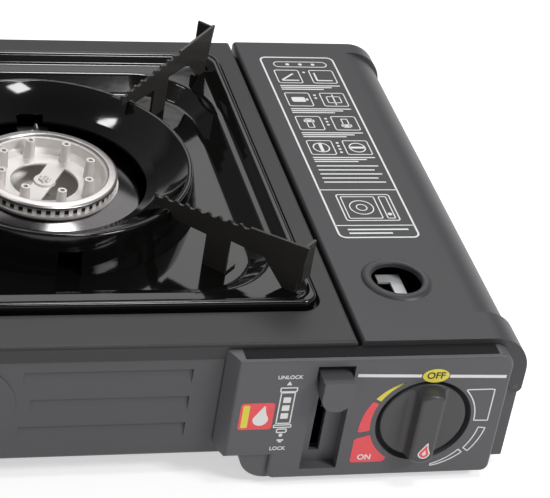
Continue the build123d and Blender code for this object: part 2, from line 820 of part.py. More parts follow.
# Electrode: ceramic rod, and the bent wire tip that sparks to the burner head
ceramic_low = dish_z - electrode_length
with BuildPart() as electrode_ceramic:
    rod(electrode_radius, (electrode_x, electrode_y, ceramic_low), (electrode_x, electrode_y, dish_z))
save(electrode_ceramic, "electrode_ceramic")
with BuildPart() as electrode_tip:
    tip_z = dish_z + electrode_tip_rise
    with BuildLine() as tip_path:
        tip_end = (electrode_x, electrode_y - electrode_tip_reach, tip_z)
        FilletPolyline((electrode_x, electrode_y, dish_z), (electrode_x, electrode_y, tip_z), tip_end,
                       radius=2 * electrode_tip_radius)
    with BuildSketch(Plane(origin=(electrode_x, electrode_y, dish_z), z_dir=(0, 0, 1))):
        Circle(electrode_tip_radius)
    sweep(path=tip_path.line)
save(electrode_tip, "electrode_tip")

# Regulator: die-cast body with an inlet nose to the cartridge and a bonnet for the spindle
bonnet_front = body_front - bonnet_length
with BuildPart() as regulator_body:
    rod(regulator_radius, (cartridge_x, body_front, cartridge_z), (cartridge_x, body_back, cartridge_z))
    rod(nose_radius, (cartridge_x, body_back, cartridge_z), (cartridge_x, nose_back, cartridge_z))
    rod(bonnet_radius, (knob_x, body_front, knob_z), (knob_x, bonnet_front, knob_z))
    rod(spindle_radius + running_gap, (knob_x, bonnet_front, knob_z), (knob_x, body_front, knob_z),
        mode=Mode.SUBTRACT)
    inlet_floor = nose_back - inlet_depth
    rod(inlet_radius, (cartridge_x, inlet_floor, cartridge_z), (cartridge_x, nose_back, cartridge_z),
        mode=Mode.SUBTRACT)
    ear_x = (cartridge_x - ear_half_length, cartridge_x + ear_half_length)
    ear_z = (cartridge_z - ear_half_height, cartridge_z + ear_half_height)
    block(ear_x, (guide_y - ear_thickness, guide_y), ear_z)
    rod(outlet_radius, (cartridge_x, outlet_y, outlet_z), (cartridge_x - outlet_length, outlet_y, outlet_z))
save(regulator_body, "regulator_body")

# Regulator cap: pressed cover over the diaphragm, pierced for the bonnet
with BuildPart() as regulator_cap:
    rod(cap_radius, (cartridge_x, cap_front, cartridge_z), (cartridge_x, body_front, cartridge_z))
    rod(bonnet_radius + clearance, (knob_x, cap_front, knob_z), (knob_x, body_front, knob_z),
        mode=Mode.SUBTRACT)
save(regulator_cap, "regulator_cap")

# Inlet seal: rubber ring on the nose that the cartridge's valve presses on
with BuildPart() as inlet_seal:
    seal_end = (cartridge_x, nose_back + seal_height, cartridge_z)
    rod(seal_radius, (cartridge_x, nose_back, cartridge_z), seal_end)
    rod(seal_bore, (cartridge_x, nose_back, cartridge_z), seal_end, mode=Mode.SUBTRACT)
save(inlet_seal, "inlet_seal")

# Cartridge guide: bright plate round the nose, with a hooked strip that finds the cartridge's notch
guide_top = deck_z - guide_top_drop
strip_right = cartridge_x - guide_strip_side + guide_strip_width / 2
with BuildPart() as cartridge_guide:
    guide_x = (cartridge_x - guide_half_width, cartridge_x + guide_half_width)
    guide_z = (tray_floor, cartridge_z + ear_half_height + nose_radius)
    guide_face = guide_y + guide_sheet
    block(guide_x, (guide_y, guide_face), guide_z)
    block(guide_x, (guide_y, guide_y + guide_foot), (tray_floor, tray_floor + guide_sheet))
    strip_x = (strip_right - guide_strip_width, strip_right)
    block(strip_x, (guide_y, guide_face), (cartridge_z, guide_top))
    nose_front, nose_end = (cartridge_x, guide_y, cartridge_z), (cartridge_x, guide_face, cartridge_z)
    rod(nose_radius + screw_gap, nose_front, nose_end, mode=Mode.SUBTRACT)
    strip_back = guide_y + guide_strip_length
    block(strip_x, (guide_y, strip_back), (guide_top - guide_sheet, guide_top))
    head_x = (strip_right - guide_head_width, strip_right)
    block(head_x, (strip_back - guide_head_length, strip_back), (guide_top - guide_sheet, guide_top))
    block(strip_x, (strip_back - guide_sheet, strip_back), (guide_top - guide_key, guide_top))
    for side in (-1, 1):
        spot_x = cartridge_x + side * (ear_half_length + nose_radius) / 2
        rod(screw_radius + screw_gap, (spot_x, guide_y, cartridge_z), (spot_x, guide_face, cartridge_z),
            mode=Mode.SUBTRACT)
save(cartridge_guide, "cartridge_guide")

# Valve spindle: brass shaft from the regulator's bonnet to the knob
knob_back = recess_floor - knob_back_gap
knob_front = panel_face - knob_reach
disc_front = knob_back - knob_disc
spindle_start = body_front - clearance
spindle_end = knob_back - spindle_grip
with BuildPart() as valve_spindle:
    rod(spindle_radius, (knob_x, spindle_start, knob_z), (knob_x, spindle_end, knob_z))
save(valve_spindle, "valve_spindle")

# Knob: moulded disc with a raised grip between two scooped sides
knob_radius = recess_radius - knob_gap
with BuildPart() as knob:
    rod(knob_radius, (knob_x, knob_back, knob_z), (knob_x, knob_front, knob_z))
    for side in (-1, 1):
        scoop_low = knob_z - knob_radius - knob_gap
        with BuildSketch(Plane.XY.offset(scoop_low)):
            with BuildLine():
                root = (knob_x + side * (grip_half_width + grip_slant), disc_front)
                outside = knob_x + side * (knob_radius + knob_gap)
                Polyline(
                    (knob_x + side * grip_half_width, knob_front),
                    root,
                    (outside, disc_front),
                    (outside, knob_front),
                    close=True,
                )
            make_face()
            fillet(vertices().sort_by_distance(root)[0], grip_root)
        extrude(amount=2 * (knob_radius + knob_gap), mode=Mode.SUBTRACT)
    fillet(knob.faces().sort_by(Axis.Y)[0].edges(), grip_edge)
    rod(spindle_radius, (knob_x, knob_back, knob_z), (knob_x, spindle_end, knob_z), mode=Mode.SUBTRACT)
save(knob, "knob")

# Igniter cam: spiral cam on the spindle that pushes the plunger in evenly as the knob turns
cam_front = tray_front + sheet + cam_setback - cam_thickness
cam_points = []
for n in range(cam_steps + 1):
    turned = knob_turn * n / cam_steps
    cam_out = cam_radius + cam_rise * n / cam_steps
    cam_points.append((knob_x + cam_out * cos(radians(-turned)), knob_z + cam_out * sin(radians(-turned))))
with BuildPart() as igniter_cam:
    with BuildSketch(front_plane(cam_front + cam_thickness)):
        with BuildLine():
            Spline(*cam_points)
            Polyline(cam_points[-1], (knob_x, knob_z), cam_points[0])
        make_face()
        with Locations((knob_x, knob_z)):
            Circle(cam_radius)
            Circle(spindle_radius, mode=Mode.SUBTRACT)
    extrude(amount=cam_thickness)
save(igniter_cam, "igniter_cam")

# Igniter body: piezo block on the tray's front wall, bored for its plunger
igniter_left = knob_x + cam_radius + cam_rise + igniter_gap
igniter_y = (tray_front + sheet, tray_front + sheet + igniter_thickness)
igniter_z = (knob_z - igniter_height / 2, knob_z + igniter_height / 2)
plunger_y = cam_front + cam_thickness / 2
plunger_left = knob_x + cam_radius + cam_gap
plunger_right = igniter_left + plunger_hold
with BuildPart() as igniter_body:
    block((igniter_left, igniter_left + igniter_length), igniter_y, igniter_z)
    bore_end = plunger_right + cam_rise + 2 * clearance
    rod(plunger_radius + running_gap, (igniter_left, plunger_y, knob_z), (bore_end, plunger_y, knob_z),
        mode=Mode.SUBTRACT)
save(igniter_body, "igniter_body")
with BuildPart() as igniter_plunger:
    rod(plunger_radius, (plunger_left, plunger_y, knob_z), (plunger_right, plunger_y, knob_z))
save(igniter_plunger, "igniter_plunger")

# Ignition lead: insulated wire clipped along the floor from the igniter to the electrode
lead_start_x = igniter_left + igniter_length - lead_end_inset
floor_lead = case_floor + lead_radius + clearance
lead_points = [
    (lead_start_x, plunger_y, igniter_z[0]),
    (lead_start_x, plunger_y, lead_height + lead_bend),
    (lead_start_x - 2 * lead_bend, lead_y, lead_height),
    (partition_x - tray_flange, lead_y, lead_height),
    (tray_left + lead_bend, lead_y, floor_lead + lead_radius),
    (tray_left - tray_flange, lead_y + lead_bend, floor_lead),
    (tray_left - 3 * tray_flange, burner_y, floor_lead),
    (electrode_x + 3 * lead_bend, electrode_y, floor_lead),
    (electrode_x, electrode_y, floor_lead + lead_bend),
    (electrode_x, electrode_y, ceramic_low),
]
with BuildPart() as ignition_lead:
    with BuildLine() as lead_path:
        FilletPolyline(*lead_points, radius=lead_bend / 2)
    with BuildSketch(Plane(origin=lead_points[0], z_dir=(0, 0, -1))):
        Circle(lead_radius)
    sweep(path=lead_path.line)
save(ignition_lead, "ignition_lead")

# Gas pipe: bent tube from the regulator's outlet, under the lever, to the jet
pipe_start = (cartridge_x - outlet_length, outlet_y, outlet_z)
pipe_turn = along_tube(jet_end + 2 * pipe_bend)
pipe_points = [
    pipe_start,
    (pipe_turn[0] - pipe_radius, outlet_y, outlet_z),
    (pipe_turn[0], pipe_turn[1] - pipe_bend, (outlet_z + tube_z) / 2),
    pipe_turn,
    along_tube(jet_end),
]
with BuildPart() as gas_pipe:
    with BuildLine() as pipe_path:
        FilletPolyline(*pipe_points, radius=pipe_bend)
    with BuildSketch(Plane(origin=pipe_start, z_dir=(-1, 0, 0))):
        Circle(pipe_radius)
    sweep(path=pipe_path.line)
save(gas_pipe, "gas_pipe")

# Lever arm: steel strip from the thumb tab to the pivot, with an upper arm that drives the slider
lever_plane = Plane.YZ.offset(lever_x - lever_sheet / 2)


def link(start, end, width):
    """A round-ended bar between two points of a sketch."""
    middle = ((start[0] + end[0]) / 2, (start[1] + end[1]) / 2)
    length = hypot(end[0] - start[0], end[1] - start[1])
    turn = degrees(atan2(end[1] - start[1], end[0] - start[0]))
    with Locations(middle):
        SlotCenterToCenter(length, width, rotation=turn)


lever_tip_y = pivot_y - lever_end * cos(radians(lever_angle))
lever_tip_z = pivot_z + lever_end * sin(radians(lever_angle))
with BuildPart() as lever_arm:
    with BuildSketch(lever_plane):
        link((lever_tip_y, lever_tip_z), (pivot_y, pivot_z), lever_bar)
        link((pivot_y, pivot_z), (drive_y, drive_z), lever_bar)
        with Locations((pivot_y, pivot_z)):
            Circle(pivot_radius + running_gap, mode=Mode.SUBTRACT)
        with Locations((drive_y, drive_z)):
            Circle(pivot_radius, mode=Mode.SUBTRACT)
    extrude(amount=lever_sheet)
save(lever_arm, "lever_arm")

# Lever tab: moulded thumb piece, flat on top and round below, hollow behind so that it clears the channel
tab_front = panel_face - tab_reach
tab_top = pivot_z + lever_half_travel + tab_height / 2
tab_x = lever_x + tab_side
tab_hollow = hypot(pivot_y - channel_floor + 2 * clearance, tab_top - pivot_z)
with BuildPart() as lever_tab:
    with BuildSketch(front_plane(channel_floor)):
        square_height = tab_height - tab_width / 2
        with Locations((tab_x, tab_top - square_height / 2)):
            Rectangle(tab_width, square_height)
        with Locations((tab_x, tab_top - square_height)):
            Circle(tab_width / 2)
    extrude(amount=channel_floor - tab_front)
    rod(tab_hollow, (channel_x[0], pivot_y, pivot_z), (channel_x[1], pivot_y, pivot_z), mode=Mode.SUBTRACT)
    add(lever_arm.part, mode=Mode.SUBTRACT)
save(lever_tab, "lever_tab")

# Lever pivot: headed pin on the partition that the lever swings on
with BuildPart() as lever_pivot:
    arm_left = lever_x - lever_sheet / 2 - clearance
    arm_right = lever_x + lever_sheet / 2 + clearance
    rod(pivot_radius, (arm_left, pivot_y, pivot_z), (arm_right, pivot_y, pivot_z))
    rod(pivot_collar, (arm_right, pivot_y, pivot_z), (partition_x, pivot_y, pivot_z))
    rod(pivot_collar, (arm_left - pivot_head, pivot_y, pivot_z), (arm_left, pivot_y, pivot_z))
save(lever_pivot, "lever_pivot")

# Drive pin: pressed into the lever's upper arm, through the partition into the slider's ear
slider_left = bay_left + slider_gap - lid_sheet
with BuildPart() as drive_pin:
    pin_right = slider_left + 2 * slider_sheet
    rod(pivot_radius, (lever_x - lever_sheet / 2, drive_y, drive_z), (pin_right, drive_y, drive_z))
save(drive_pin, "drive_pin")

# Lever spring: thin leaf on the front wall beside the lever arm
with BuildPart() as lever_spring:
    leaf_x = lever_x + lever_sheet / 2 + clearance
    leaf_y = tray_front + sheet
    leaf_z = (pivot_z - spring_height / 2, pivot_z + spring_height / 2)
    block((leaf_x, leaf_x + spring_sheet), (leaf_y, leaf_y + spring_length), leaf_z)
    block((leaf_x, wall_slot_x[1] + spring_tab), (leaf_y, leaf_y + spring_sheet), leaf_z)
save(lever_spring, "lever_spring")

# Cartridge slider: strip on the tray floor with a rear stop and an ear that the drive pin pulls
slider_floor = tray_floor + clearance
slider_strip = (slider_left, slider_left + slider_width)
ear_y = (drive_y - slider_ear_half, drive_y + slider_ear_half)
stop_y = nose_back + seal_height + slider_travel + cartridge_length + slider_play
rivet_x = slider_left + slider_width / 2
rivet_rows = [panel_face + rivet_front_setback + n * rivet_spacing for n in range(2)]
with BuildPart() as cartridge_slider:
    strip_y = (ear_y[0], stop_y + slider_sheet)
    block(slider_strip, strip_y, (slider_floor, slider_floor + slider_sheet))
    block((slider_left, slider_left + slider_sheet), ear_y, (slider_floor, drive_z + slider_ear_rise))
    stop_x = (slider_left, slider_left + slider_stop_width)
    block(stop_x, (stop_y, stop_y + slider_sheet), (slider_floor, slider_floor + slider_stop_height))
    ear_room = pivot_radius + slider_play
    ear_z = (drive_z - ear_room, pivot_z + drive_arm + ear_room)
    block((slider_left, slider_left + slider_sheet), (drive_y - ear_room, drive_y + ear_room), ear_z,
          mode=Mode.SUBTRACT)
    for y in rivet_rows:
        slot_x = (rivet_x - ear_room, rivet_x + ear_room)
        slot_y = (y - ear_room, y + ear_room + slider_travel)
        block(slot_x, slot_y, (slider_floor, slider_floor + slider_sheet), mode=Mode.SUBTRACT)
save(cartridge_slider, "cartridge_slider")

# Slider rivets: headed guides on the tray floor
with BuildPart() as slider_rivets:
    for y in rivet_rows:
        head_low = slider_floor + slider_sheet + clearance
        rod(pivot_radius, (rivet_x, y, tray_floor), (rivet_x, y, head_low))
        rod(rivet_head_radius, (rivet_x, y, head_low), (rivet_x, y, head_low + rivet_head_height))
save(slider_rivets, "slider_rivets")

# Guide screws: hold the regulator's ears to the guide plate
with BuildPart() as guide_screws:
    for side in (-1, 1):
        spot_x = cartridge_x + side * (ear_half_length + nose_radius) / 2
        head_y = guide_y + guide_sheet
        head_end = head_y + screw_head_height
        rod(screw_head_radius, (spot_x, head_y, cartridge_z), (spot_x, head_end, cartridge_z))
        rod(screw_radius, (spot_x, guide_y, cartridge_z), (spot_x, head_y, cartridge_z))
save(guide_screws, "guide_screws")

# Burner screws: hold the burner base to its bracket from below
with BuildPart() as burner_screws:
    for side in (-1, 1):
        spot_y = burner_y + side * (base_foot_radius - 2 * base_wall)
        head_z = base_bottom - bracket_sheet
        rod(screw_head_radius, (burner_x, spot_y, head_z), (burner_x, spot_y, head_z - screw_head_height))
        rod(screw_radius, (burner_x, spot_y, head_z), (burner_x, spot_y, base_bottom))
save(burner_screws, "burner_screws")

# Cartridge lid: pressed cover, rounded over its outer shoulder and more so between its end bands
lid_front = y_front + lid_end_gap
lid_back = y_back - lid_end_gap
middle_y = (lid_front + front_band, lid_back - back_band)
lid_spans = [(lid_front, middle_y[0], shoulder_end), (middle_y[0], middle_y[1], shoulder_middle),
             (middle_y[1], lid_back, shoulder_end)]
sight_x = lid_left + sight_side
sight_y = y_front + sight_from_front


def lid_section(inset, shoulder):
    """The lid's outline seen from the front, drawn in evenly, square at its lower edge."""
    left, right = lid_left + inset, x_right - inset
    low, high = hinge_z, deck_z - inset
    with Locations(((left + right) / 2, (low + high) / 2)):
        Rectangle(right - left, high - low)
    fillet(vertices().sort_by_distance((left, high))[0], max(lid_roll - inset, sheet))
    fillet(vertices().sort_by_distance((right, high))[0], shoulder - inset)


with BuildPart() as cartridge_lid:
    for start, end, shoulder in lid_spans:
        with BuildSketch(front_plane(end)):
            lid_section(0, shoulder)
        extrude(amount=end - start)
    hollows = [(lid_front + lid_sheet, middle_y[0] - lid_sheet, shoulder_end),
               (middle_y[0] - lid_sheet, middle_y[1] + lid_sheet, shoulder_middle),
               (middle_y[1] + lid_sheet, lid_back - lid_sheet, shoulder_end)]
    for start, end, shoulder in hollows:
        with BuildSketch(front_plane(end)):
            lid_section(lid_sheet, shoulder)
        extrude(amount=end - start, mode=Mode.SUBTRACT)
    with BuildSketch(front_plane(lid_back)):
        lid_section(lid_band, shoulder_end)
    extrude(amount=lid_back - lid_front, mode=Mode.SUBTRACT)
    open_x = (lid_left, lid_left + lid_band)
    block(open_x, (lid_front, lid_back), (hinge_z, deck_z - lid_band), mode=Mode.SUBTRACT)
    relief_z = (hinge_z, hinge_z + ear_relief)
    for relief_y in ((lid_front + lid_sheet, tray_front + sheet + 2 * clearance),
                     (tray_back - sheet - 2 * clearance, lid_back - lid_sheet)):
        block((x_right - lid_sheet, x_right), relief_y, relief_z, mode=Mode.SUBTRACT)
    for y in (lid_front, lid_back - lid_sheet):
        rod(hinge_inset, (hinge_x, y, hinge_z), (hinge_x, y + lid_sheet, hinge_z))
        rod(hinge_pin_radius + running_gap, (hinge_x, y, hinge_z), (hinge_x, y + lid_sheet, hinge_z),
            mode=Mode.SUBTRACT)
    rod(sight_radius + sight_rim, (sight_x, sight_y, deck_z), (sight_x, sight_y, deck_z + sight_rim_rise))
    rod(sight_radius, (sight_x, sight_y, deck_z - lid_sheet), (sight_x, sight_y, deck_z + sight_rim_rise),
        mode=Mode.SUBTRACT)
save(cartridge_lid, "cartridge_lid")

# Hinge pins: pressed into the tray's end walls, running in the lid's end plates
with BuildPart() as hinge_pins:
    rod(hinge_pin_radius, (hinge_x, lid_front, hinge_z), (hinge_x, lid_front + hinge_pin_length, hinge_z))
    rod(hinge_pin_radius, (hinge_x, lid_back, hinge_z), (hinge_x, lid_back - hinge_pin_length, hinge_z))
save(hinge_pins, "hinge_pins")


def pan_mass(inset, drop):
    """All that lies under the pan's upper face, drawn in by inset and lowered by drop."""
    slope_in = crest_width + crest_slope
    side_in = slope_in + land_side_width
    end_in = slope_in + land_end_width
    with BuildPart() as mass:
        with BuildSketch(Plane.XY.offset(pan_floor - sheet - drop)):
            pan_plan(inset, pan_corner - inset)
        extrude(amount=crest_z - pan_floor + sheet)
        with BuildSketch(Plane.XY.offset(land_z - drop)) as land_edge:
            pan_plan(slope_in, pan_corner)
        with BuildSketch(Plane.XY.offset(crest_z - drop)) as crest_edge:
            pan_plan(crest_width, pan_corner)
        loft(sections=[land_edge.sketch, crest_edge.sketch], ruled=True, mode=Mode.SUBTRACT)
        with BuildSketch(Plane.XY.offset(pan_floor - drop)) as basin_low:
            pan_plan(side_in + basin_slope, basin_corner - basin_slope, end_in + basin_slope)
        with BuildSketch(Plane.XY.offset(land_z - drop)) as basin_top:
            pan_plan(side_in, basin_corner, end_in)
        loft(sections=[basin_low.sketch, basin_top.sketch], ruled=True, mode=Mode.SUBTRACT)
    return mass.part


# Drip pan: enamelled pressing with a raised rim, a flat land and a sunk basin round the burner
pan_upper = pan_mass(0, 0)
pan_under = pan_mass(sheet, sheet)
with BuildPart() as drip_pan:
    add(pan_upper)
    add(pan_under, mode=Mode.SUBTRACT)
    with BuildSketch(Plane.XY.offset(pan_floor - sheet)):
        pan_plan(-pan_gap, pan_corner)
        with Locations((burner_x, burner_y)):
            inner_width = pan_width - 2 * foot_band
            RectangleRounded(inner_width, pan_depth - 2 * foot_band, pan_corner, mode=Mode.SUBTRACT)
    extrude(amount=ledge_z - pan_floor + sheet, mode=Mode.SUBTRACT)
    hole_low = (burner_x, burner_y, pan_floor - sheet)
    rod(pan_hole_radius, hole_low, (burner_x, burner_y, pan_floor), mode=Mode.SUBTRACT)
save(drip_pan, "drip_pan")

# Wind ring: enamelled ring on the pan floor, sloping in from its rim to the burner's opening
rim_top = deck_z + ring_rim_rise
bore_z = deck_z + ring_bore_rise
with BuildPart() as wind_ring:
    with BuildSketch(burner_section):
        with BuildLine():
            Polyline(
                (ring_foot_radius, pan_floor),
                (ring_rim_radius, rim_top - ring_crest),
                (ring_rim_radius - sheet, rim_top),
                (ring_rim_radius - 2 * sheet, rim_top - sheet / 2),
                (ring_bore_radius, bore_z),
                (ring_bore_radius, bore_z - ring_lip),
                (ring_bore_radius + sheet, bore_z - ring_lip),
                (ring_bore_radius + sheet, bore_z - sheet / 2),
                (ring_rim_radius - 1.5 * sheet, rim_top - ring_crest),
                (ring_rim_radius - sheet, rim_top - 2 * ring_crest),
                (ring_foot_radius - sheet, pan_floor),
                close=True,
            )
        make_face()
    revolve(axis=burner_axis)
    window_x = (electrode_x - ring_window_width / 2, electrode_x + ring_window_width / 2)
    window_y = (burner_y + ring_bore_radius - sheet, burner_y + ring_bore_radius + ring_window_depth)
    block(window_x, window_y, (bore_z - ring_lip, bore_z + ring_window_depth), mode=Mode.SUBTRACT)
save(wind_ring, "wind_ring")

# Pan supports: serrated plates on the diagonals, hooked over the ring and footed on the pan
support_slope = (support_tip_rise - support_inner_rise) / (support_tip_radius - support_inner_radius)


def support_top(radius):
    """The height of a support's upper edge at a distance from the burner's centre."""
    return deck_z + support_inner_rise + support_slope * (radius - support_inner_radius)


def pan_support(name, bearing):
    """One support, standing in the upright plane at a bearing round the burner."""
    way = (cos(radians(bearing)), sin(radians(bearing)), 0)
    across = (sin(radians(bearing)), -cos(radians(bearing)), 0)
    web = deck_z + support_web_rise
    web_out = deck_z + support_web_out_rise
    leg_end = support_leg_start + support_leg_width
    end_foot_start = support_arch_start + web_out - land_z
    with BuildPart() as support:
        with BuildSketch(Plane(origin=(burner_x, burner_y, 0), x_dir=way, z_dir=across)):
            with BuildLine():
                Polyline(
                    (support_inner_radius, support_top(support_inner_radius)),
                    (support_tip_radius, support_top(support_tip_radius)),
                    (end_foot_start + support_end_foot, land_z),
                    (end_foot_start, land_z),
                    (support_arch_start, web_out),
                    (leg_end, web_out),
                    (leg_end, pan_floor),
                    (support_leg_start, pan_floor),
                    (support_leg_start, web),
                    (ring_foot_radius, web),
                    (ring_rim_radius + sheet, rim_top + clearance),
                    (support_inner_radius, rim_top + clearance),
                    close=True,
                )
            make_face()
            tooth_count = int((support_serrated_radius - support_inner_radius) / support_tooth_pitch)
            for n in range(tooth_count):
                spot = support_inner_radius + (n + 0.5) * support_tooth_pitch
                lift = support_tooth_radius - support_tooth_depth
                with Locations((spot, support_top(spot) + lift)):
                    Circle(support_tooth_radius, mode=Mode.SUBTRACT)
        extrude(amount=support_sheet / 2, both=True)
        leg_middle = support_leg_start + support_leg_width / 2
        foot_spot = Vector(burner_x, burner_y, pan_floor) + Vector(*way) * leg_middle
        with BuildSketch(Plane(origin=foot_spot, x_dir=way, z_dir=(0, 0, 1))):
            with Locations((0, support_foot_length / 2)):
                Rectangle(support_leg_width, support_foot_length)
        extrude(amount=support_sheet)
        flange_radius = support_tip_radius - support_sheet
        end_spot = Vector(burner_x, burner_y, support_top(flange_radius)) + Vector(*way) * flange_radius
        with BuildSketch(Plane(origin=end_spot, x_dir=way, z_dir=(0, 0, -1))):
            with Locations((-support_sheet / 2, -support_flange / 2)):
                Rectangle(support_sheet, support_flange)
        extrude(amount=support_flange_drop)
    save(support, name)


for name, bearing in (("back_right", 45), ("back_left", 135), ("front_left", 225), ("front_right", 315)):
    pan_support(f"pan_support_{name}", bearing)

# The lock travel and the bay's room, for the record
print("lever swings", round(2 * lever_angle, 3), "degrees, slider travels", round(slider_travel, 3))
print("bay room", round(stop_y - nose_back, 2), "long for a cartridge of", cartridge_length)
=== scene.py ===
import json
from math import atan2, cos, degrees, pi, radians, sin

import bmesh
import bpy
from mathutils import Matrix, Vector

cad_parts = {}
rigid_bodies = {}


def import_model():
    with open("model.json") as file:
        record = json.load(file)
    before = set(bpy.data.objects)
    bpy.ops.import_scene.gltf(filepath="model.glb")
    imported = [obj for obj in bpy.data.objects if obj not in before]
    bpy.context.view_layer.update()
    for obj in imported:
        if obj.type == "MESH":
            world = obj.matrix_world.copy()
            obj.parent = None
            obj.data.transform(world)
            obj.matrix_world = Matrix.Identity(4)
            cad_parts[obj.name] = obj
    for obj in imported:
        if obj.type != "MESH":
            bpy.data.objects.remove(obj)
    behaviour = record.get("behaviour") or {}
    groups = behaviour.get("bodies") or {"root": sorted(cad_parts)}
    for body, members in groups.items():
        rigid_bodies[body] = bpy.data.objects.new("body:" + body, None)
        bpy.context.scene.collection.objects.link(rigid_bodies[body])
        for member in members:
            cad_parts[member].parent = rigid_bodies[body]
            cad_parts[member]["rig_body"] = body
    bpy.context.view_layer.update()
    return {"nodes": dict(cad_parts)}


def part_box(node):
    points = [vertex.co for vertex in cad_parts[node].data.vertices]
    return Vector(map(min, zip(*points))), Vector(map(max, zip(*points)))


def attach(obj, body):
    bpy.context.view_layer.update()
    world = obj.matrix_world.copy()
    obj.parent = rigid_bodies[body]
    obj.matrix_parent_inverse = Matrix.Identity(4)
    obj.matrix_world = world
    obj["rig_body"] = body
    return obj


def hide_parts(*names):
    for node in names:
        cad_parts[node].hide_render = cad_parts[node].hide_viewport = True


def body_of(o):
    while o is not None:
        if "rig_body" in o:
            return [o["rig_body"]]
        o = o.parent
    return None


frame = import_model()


# Body case and cartridge tray: the two halves of the body, the case with louver bars beside a plain boss.
# Both are deep-drawn steel sheet under baked paint, screwed together along the tray's flange from below.
mm = 0.001
sharp_turn = radians(40)


def linear(code):
    """An sRGB hex colour as a linear colour with full alpha."""
    shares = [int(code[i:i + 2], 16) / 255 for i in (1, 3, 5)]
    return [s / 12.92 if s <= 0.04045 else ((s + 0.055) / 1.055) ** 2.4 for s in shares] + [1.0]


def add_node(tree, kind, sockets=None, **settings):
    """Adds a node with its settings; each socket gets a value, or a link from another node."""
    node = tree.nodes.new(kind)
    for name, value in settings.items():
        setattr(node, name, value)
    for key, value in (sockets or {}).items():
        if isinstance(value, bpy.types.NodeSocket):
            tree.links.new(value, node.inputs[key])
        else:
            node.inputs[key].default_value = value
    return node


def finish(name, tones, patch, roughness, grain, relief, metallic=0.0):
    """A material whose tone and roughness drift in patches, with a fine grain that breaks up the light.

    A blasted, moulded or plated surface has a grain too fine for the picture, so it is drawn coarser, at half
    a millimetre or more.
    """
    material = bpy.data.materials.new(name)
    material.use_nodes = True
    tree = material.node_tree
    shader = tree.nodes["Principled BSDF"]
    place = add_node(tree, "ShaderNodeTexCoord").outputs["Object"]
    drift = add_node(tree, "ShaderNodeTexNoise", {"Vector": place, "Scale": 1 / patch, "Detail": 4.0})
    tone = add_node(tree, "ShaderNodeMix", {0: drift.outputs[0], 6: linear(tones[0]), 7: linear(tones[1])},
                    data_type="RGBA")
    rough = add_node(tree, "ShaderNodeMapRange",
                     {"Value": drift.outputs[0], "To Min": roughness[0], "To Max": roughness[1]})
    pores = add_node(tree, "ShaderNodeTexNoise", {"Vector": place, "Scale": 1 / grain, "Detail": 2.0})
    bump = add_node(tree, "ShaderNodeBump", {"Height": pores.outputs[0], "Distance": relief})
    tree.links.new(tone.outputs[2], shader.inputs["Base Color"])
    tree.links.new(rough.outputs[0], shader.inputs["Roughness"])
    tree.links.new(bump.outputs[0], shader.inputs["Normal"])
    shader.inputs["Metallic"].default_value = metallic
    return material


def dress(material, *names):
    """Puts a material on CAD nodes in place of their plain colour."""
    for name in names:
        skin = frame["nodes"][name].data
        skin.materials.clear()
        skin.materials.append(material)


def make_piece(name, shape, material, body, stands_for=()):
    """Turns a finished bmesh into an object with one material that rides on a body."""
    skin = bpy.data.meshes.new(name)
    shape.to_mesh(skin)
    shape.free()
    skin.shade_smooth()
    skin.set_sharp_from_angle(angle=sharp_turn)
    skin.materials.append(material)
    piece = bpy.data.objects.new(name, skin)
    bpy.context.scene.collection.objects.link(piece)
    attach(piece, body)
    if stands_for:
        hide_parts(*stands_for)
    return piece


def keep_flats(piece):
    """Weighs a piece's normals by area, so that its flats stay flat between rounded folds."""
    flats = piece.modifiers.new("flats", "WEIGHTED_NORMAL")
    flats.weight = 100
    flats.keep_sharp = True


def softened(node, name, material, edge):
    """A copy of a CAD node with its sharp edges rounded off, which stands for that node."""
    shape = bmesh.new()
    shape.from_mesh(frame["nodes"][node].data)
    bmesh.ops.remove_doubles(shape, verts=shape.verts, dist=0.002 * mm)
    bmesh.ops.dissolve_limit(shape, angle_limit=radians(1), verts=shape.verts, edges=shape.edges)
    body, = body_of(frame["nodes"][node])
    piece = make_piece(name, shape, material, body, [node])
    rounding = piece.modifiers.new("rounding", "BEVEL")
    rounding.width = edge
    rounding.segments = 2
    rounding.profile = 0.5
    rounding.limit_method = "ANGLE"
    rounding.angle_limit = sharp_turn
    keep_flats(piece)


# Baked charcoal paint: an even half-matt coat, whose orange peel of about 1 mm softens every highlight
# Its tone is painted a shade lighter than the lid's coat, painted light for the front walls, which get less
# of the overhead light
charcoal_paint = finish("baked_charcoal_paint", ("#4b4b4e", "#515154"), patch=60 * mm,
                        roughness=(0.36, 0.44), grain=1.1 * mm, relief=0.012 * mm)
dress(charcoal_paint, "cartridge_tray", "hinge_pins")
softened("body_case", "body_case_pressing", charcoal_paint, edge=0.6 * mm)

# Feet, inlet seal and spark lead: the soft parts, the feet pushed through the floor from below.
# They are moulded or drawn black rubber, dull and slightly grey where they rub.
black_rubber = finish("moulded_black_rubber", ("#141414", "#1f1f1f"), patch=6 * mm,
                      roughness=(0.65, 0.85), grain=0.8 * mm, relief=0.02 * mm)
dress(black_rubber, "feet_left", "feet_right", "inlet_seal", "ignition_lead")

# Partition, brackets, screws, pins and lock: the steelwork that holds burner, lever and cartridge.
# They are pressed or turned steel, bright zinc plated, with a faint cloudy passivation.
zinc_plate = finish("bright_zinc_plate", ("#9ea2a6", "#c3c6c8"), patch=9 * mm,
                    roughness=(0.22, 0.38), grain=0.9 * mm, relief=0.006 * mm, metallic=1.0)
dress(zinc_plate, "partition_wall", "panel_screws", "base_screws", "burner_bracket", "burner_screws",
      "jet_stirrup", "electrode_plate", "electrode_tip", "regulator_cap", "guide_screws", "lever_pivot",
      "lever_spring", "slider_rivets", "lever_arm", "drive_pin", "cartridge_slider")
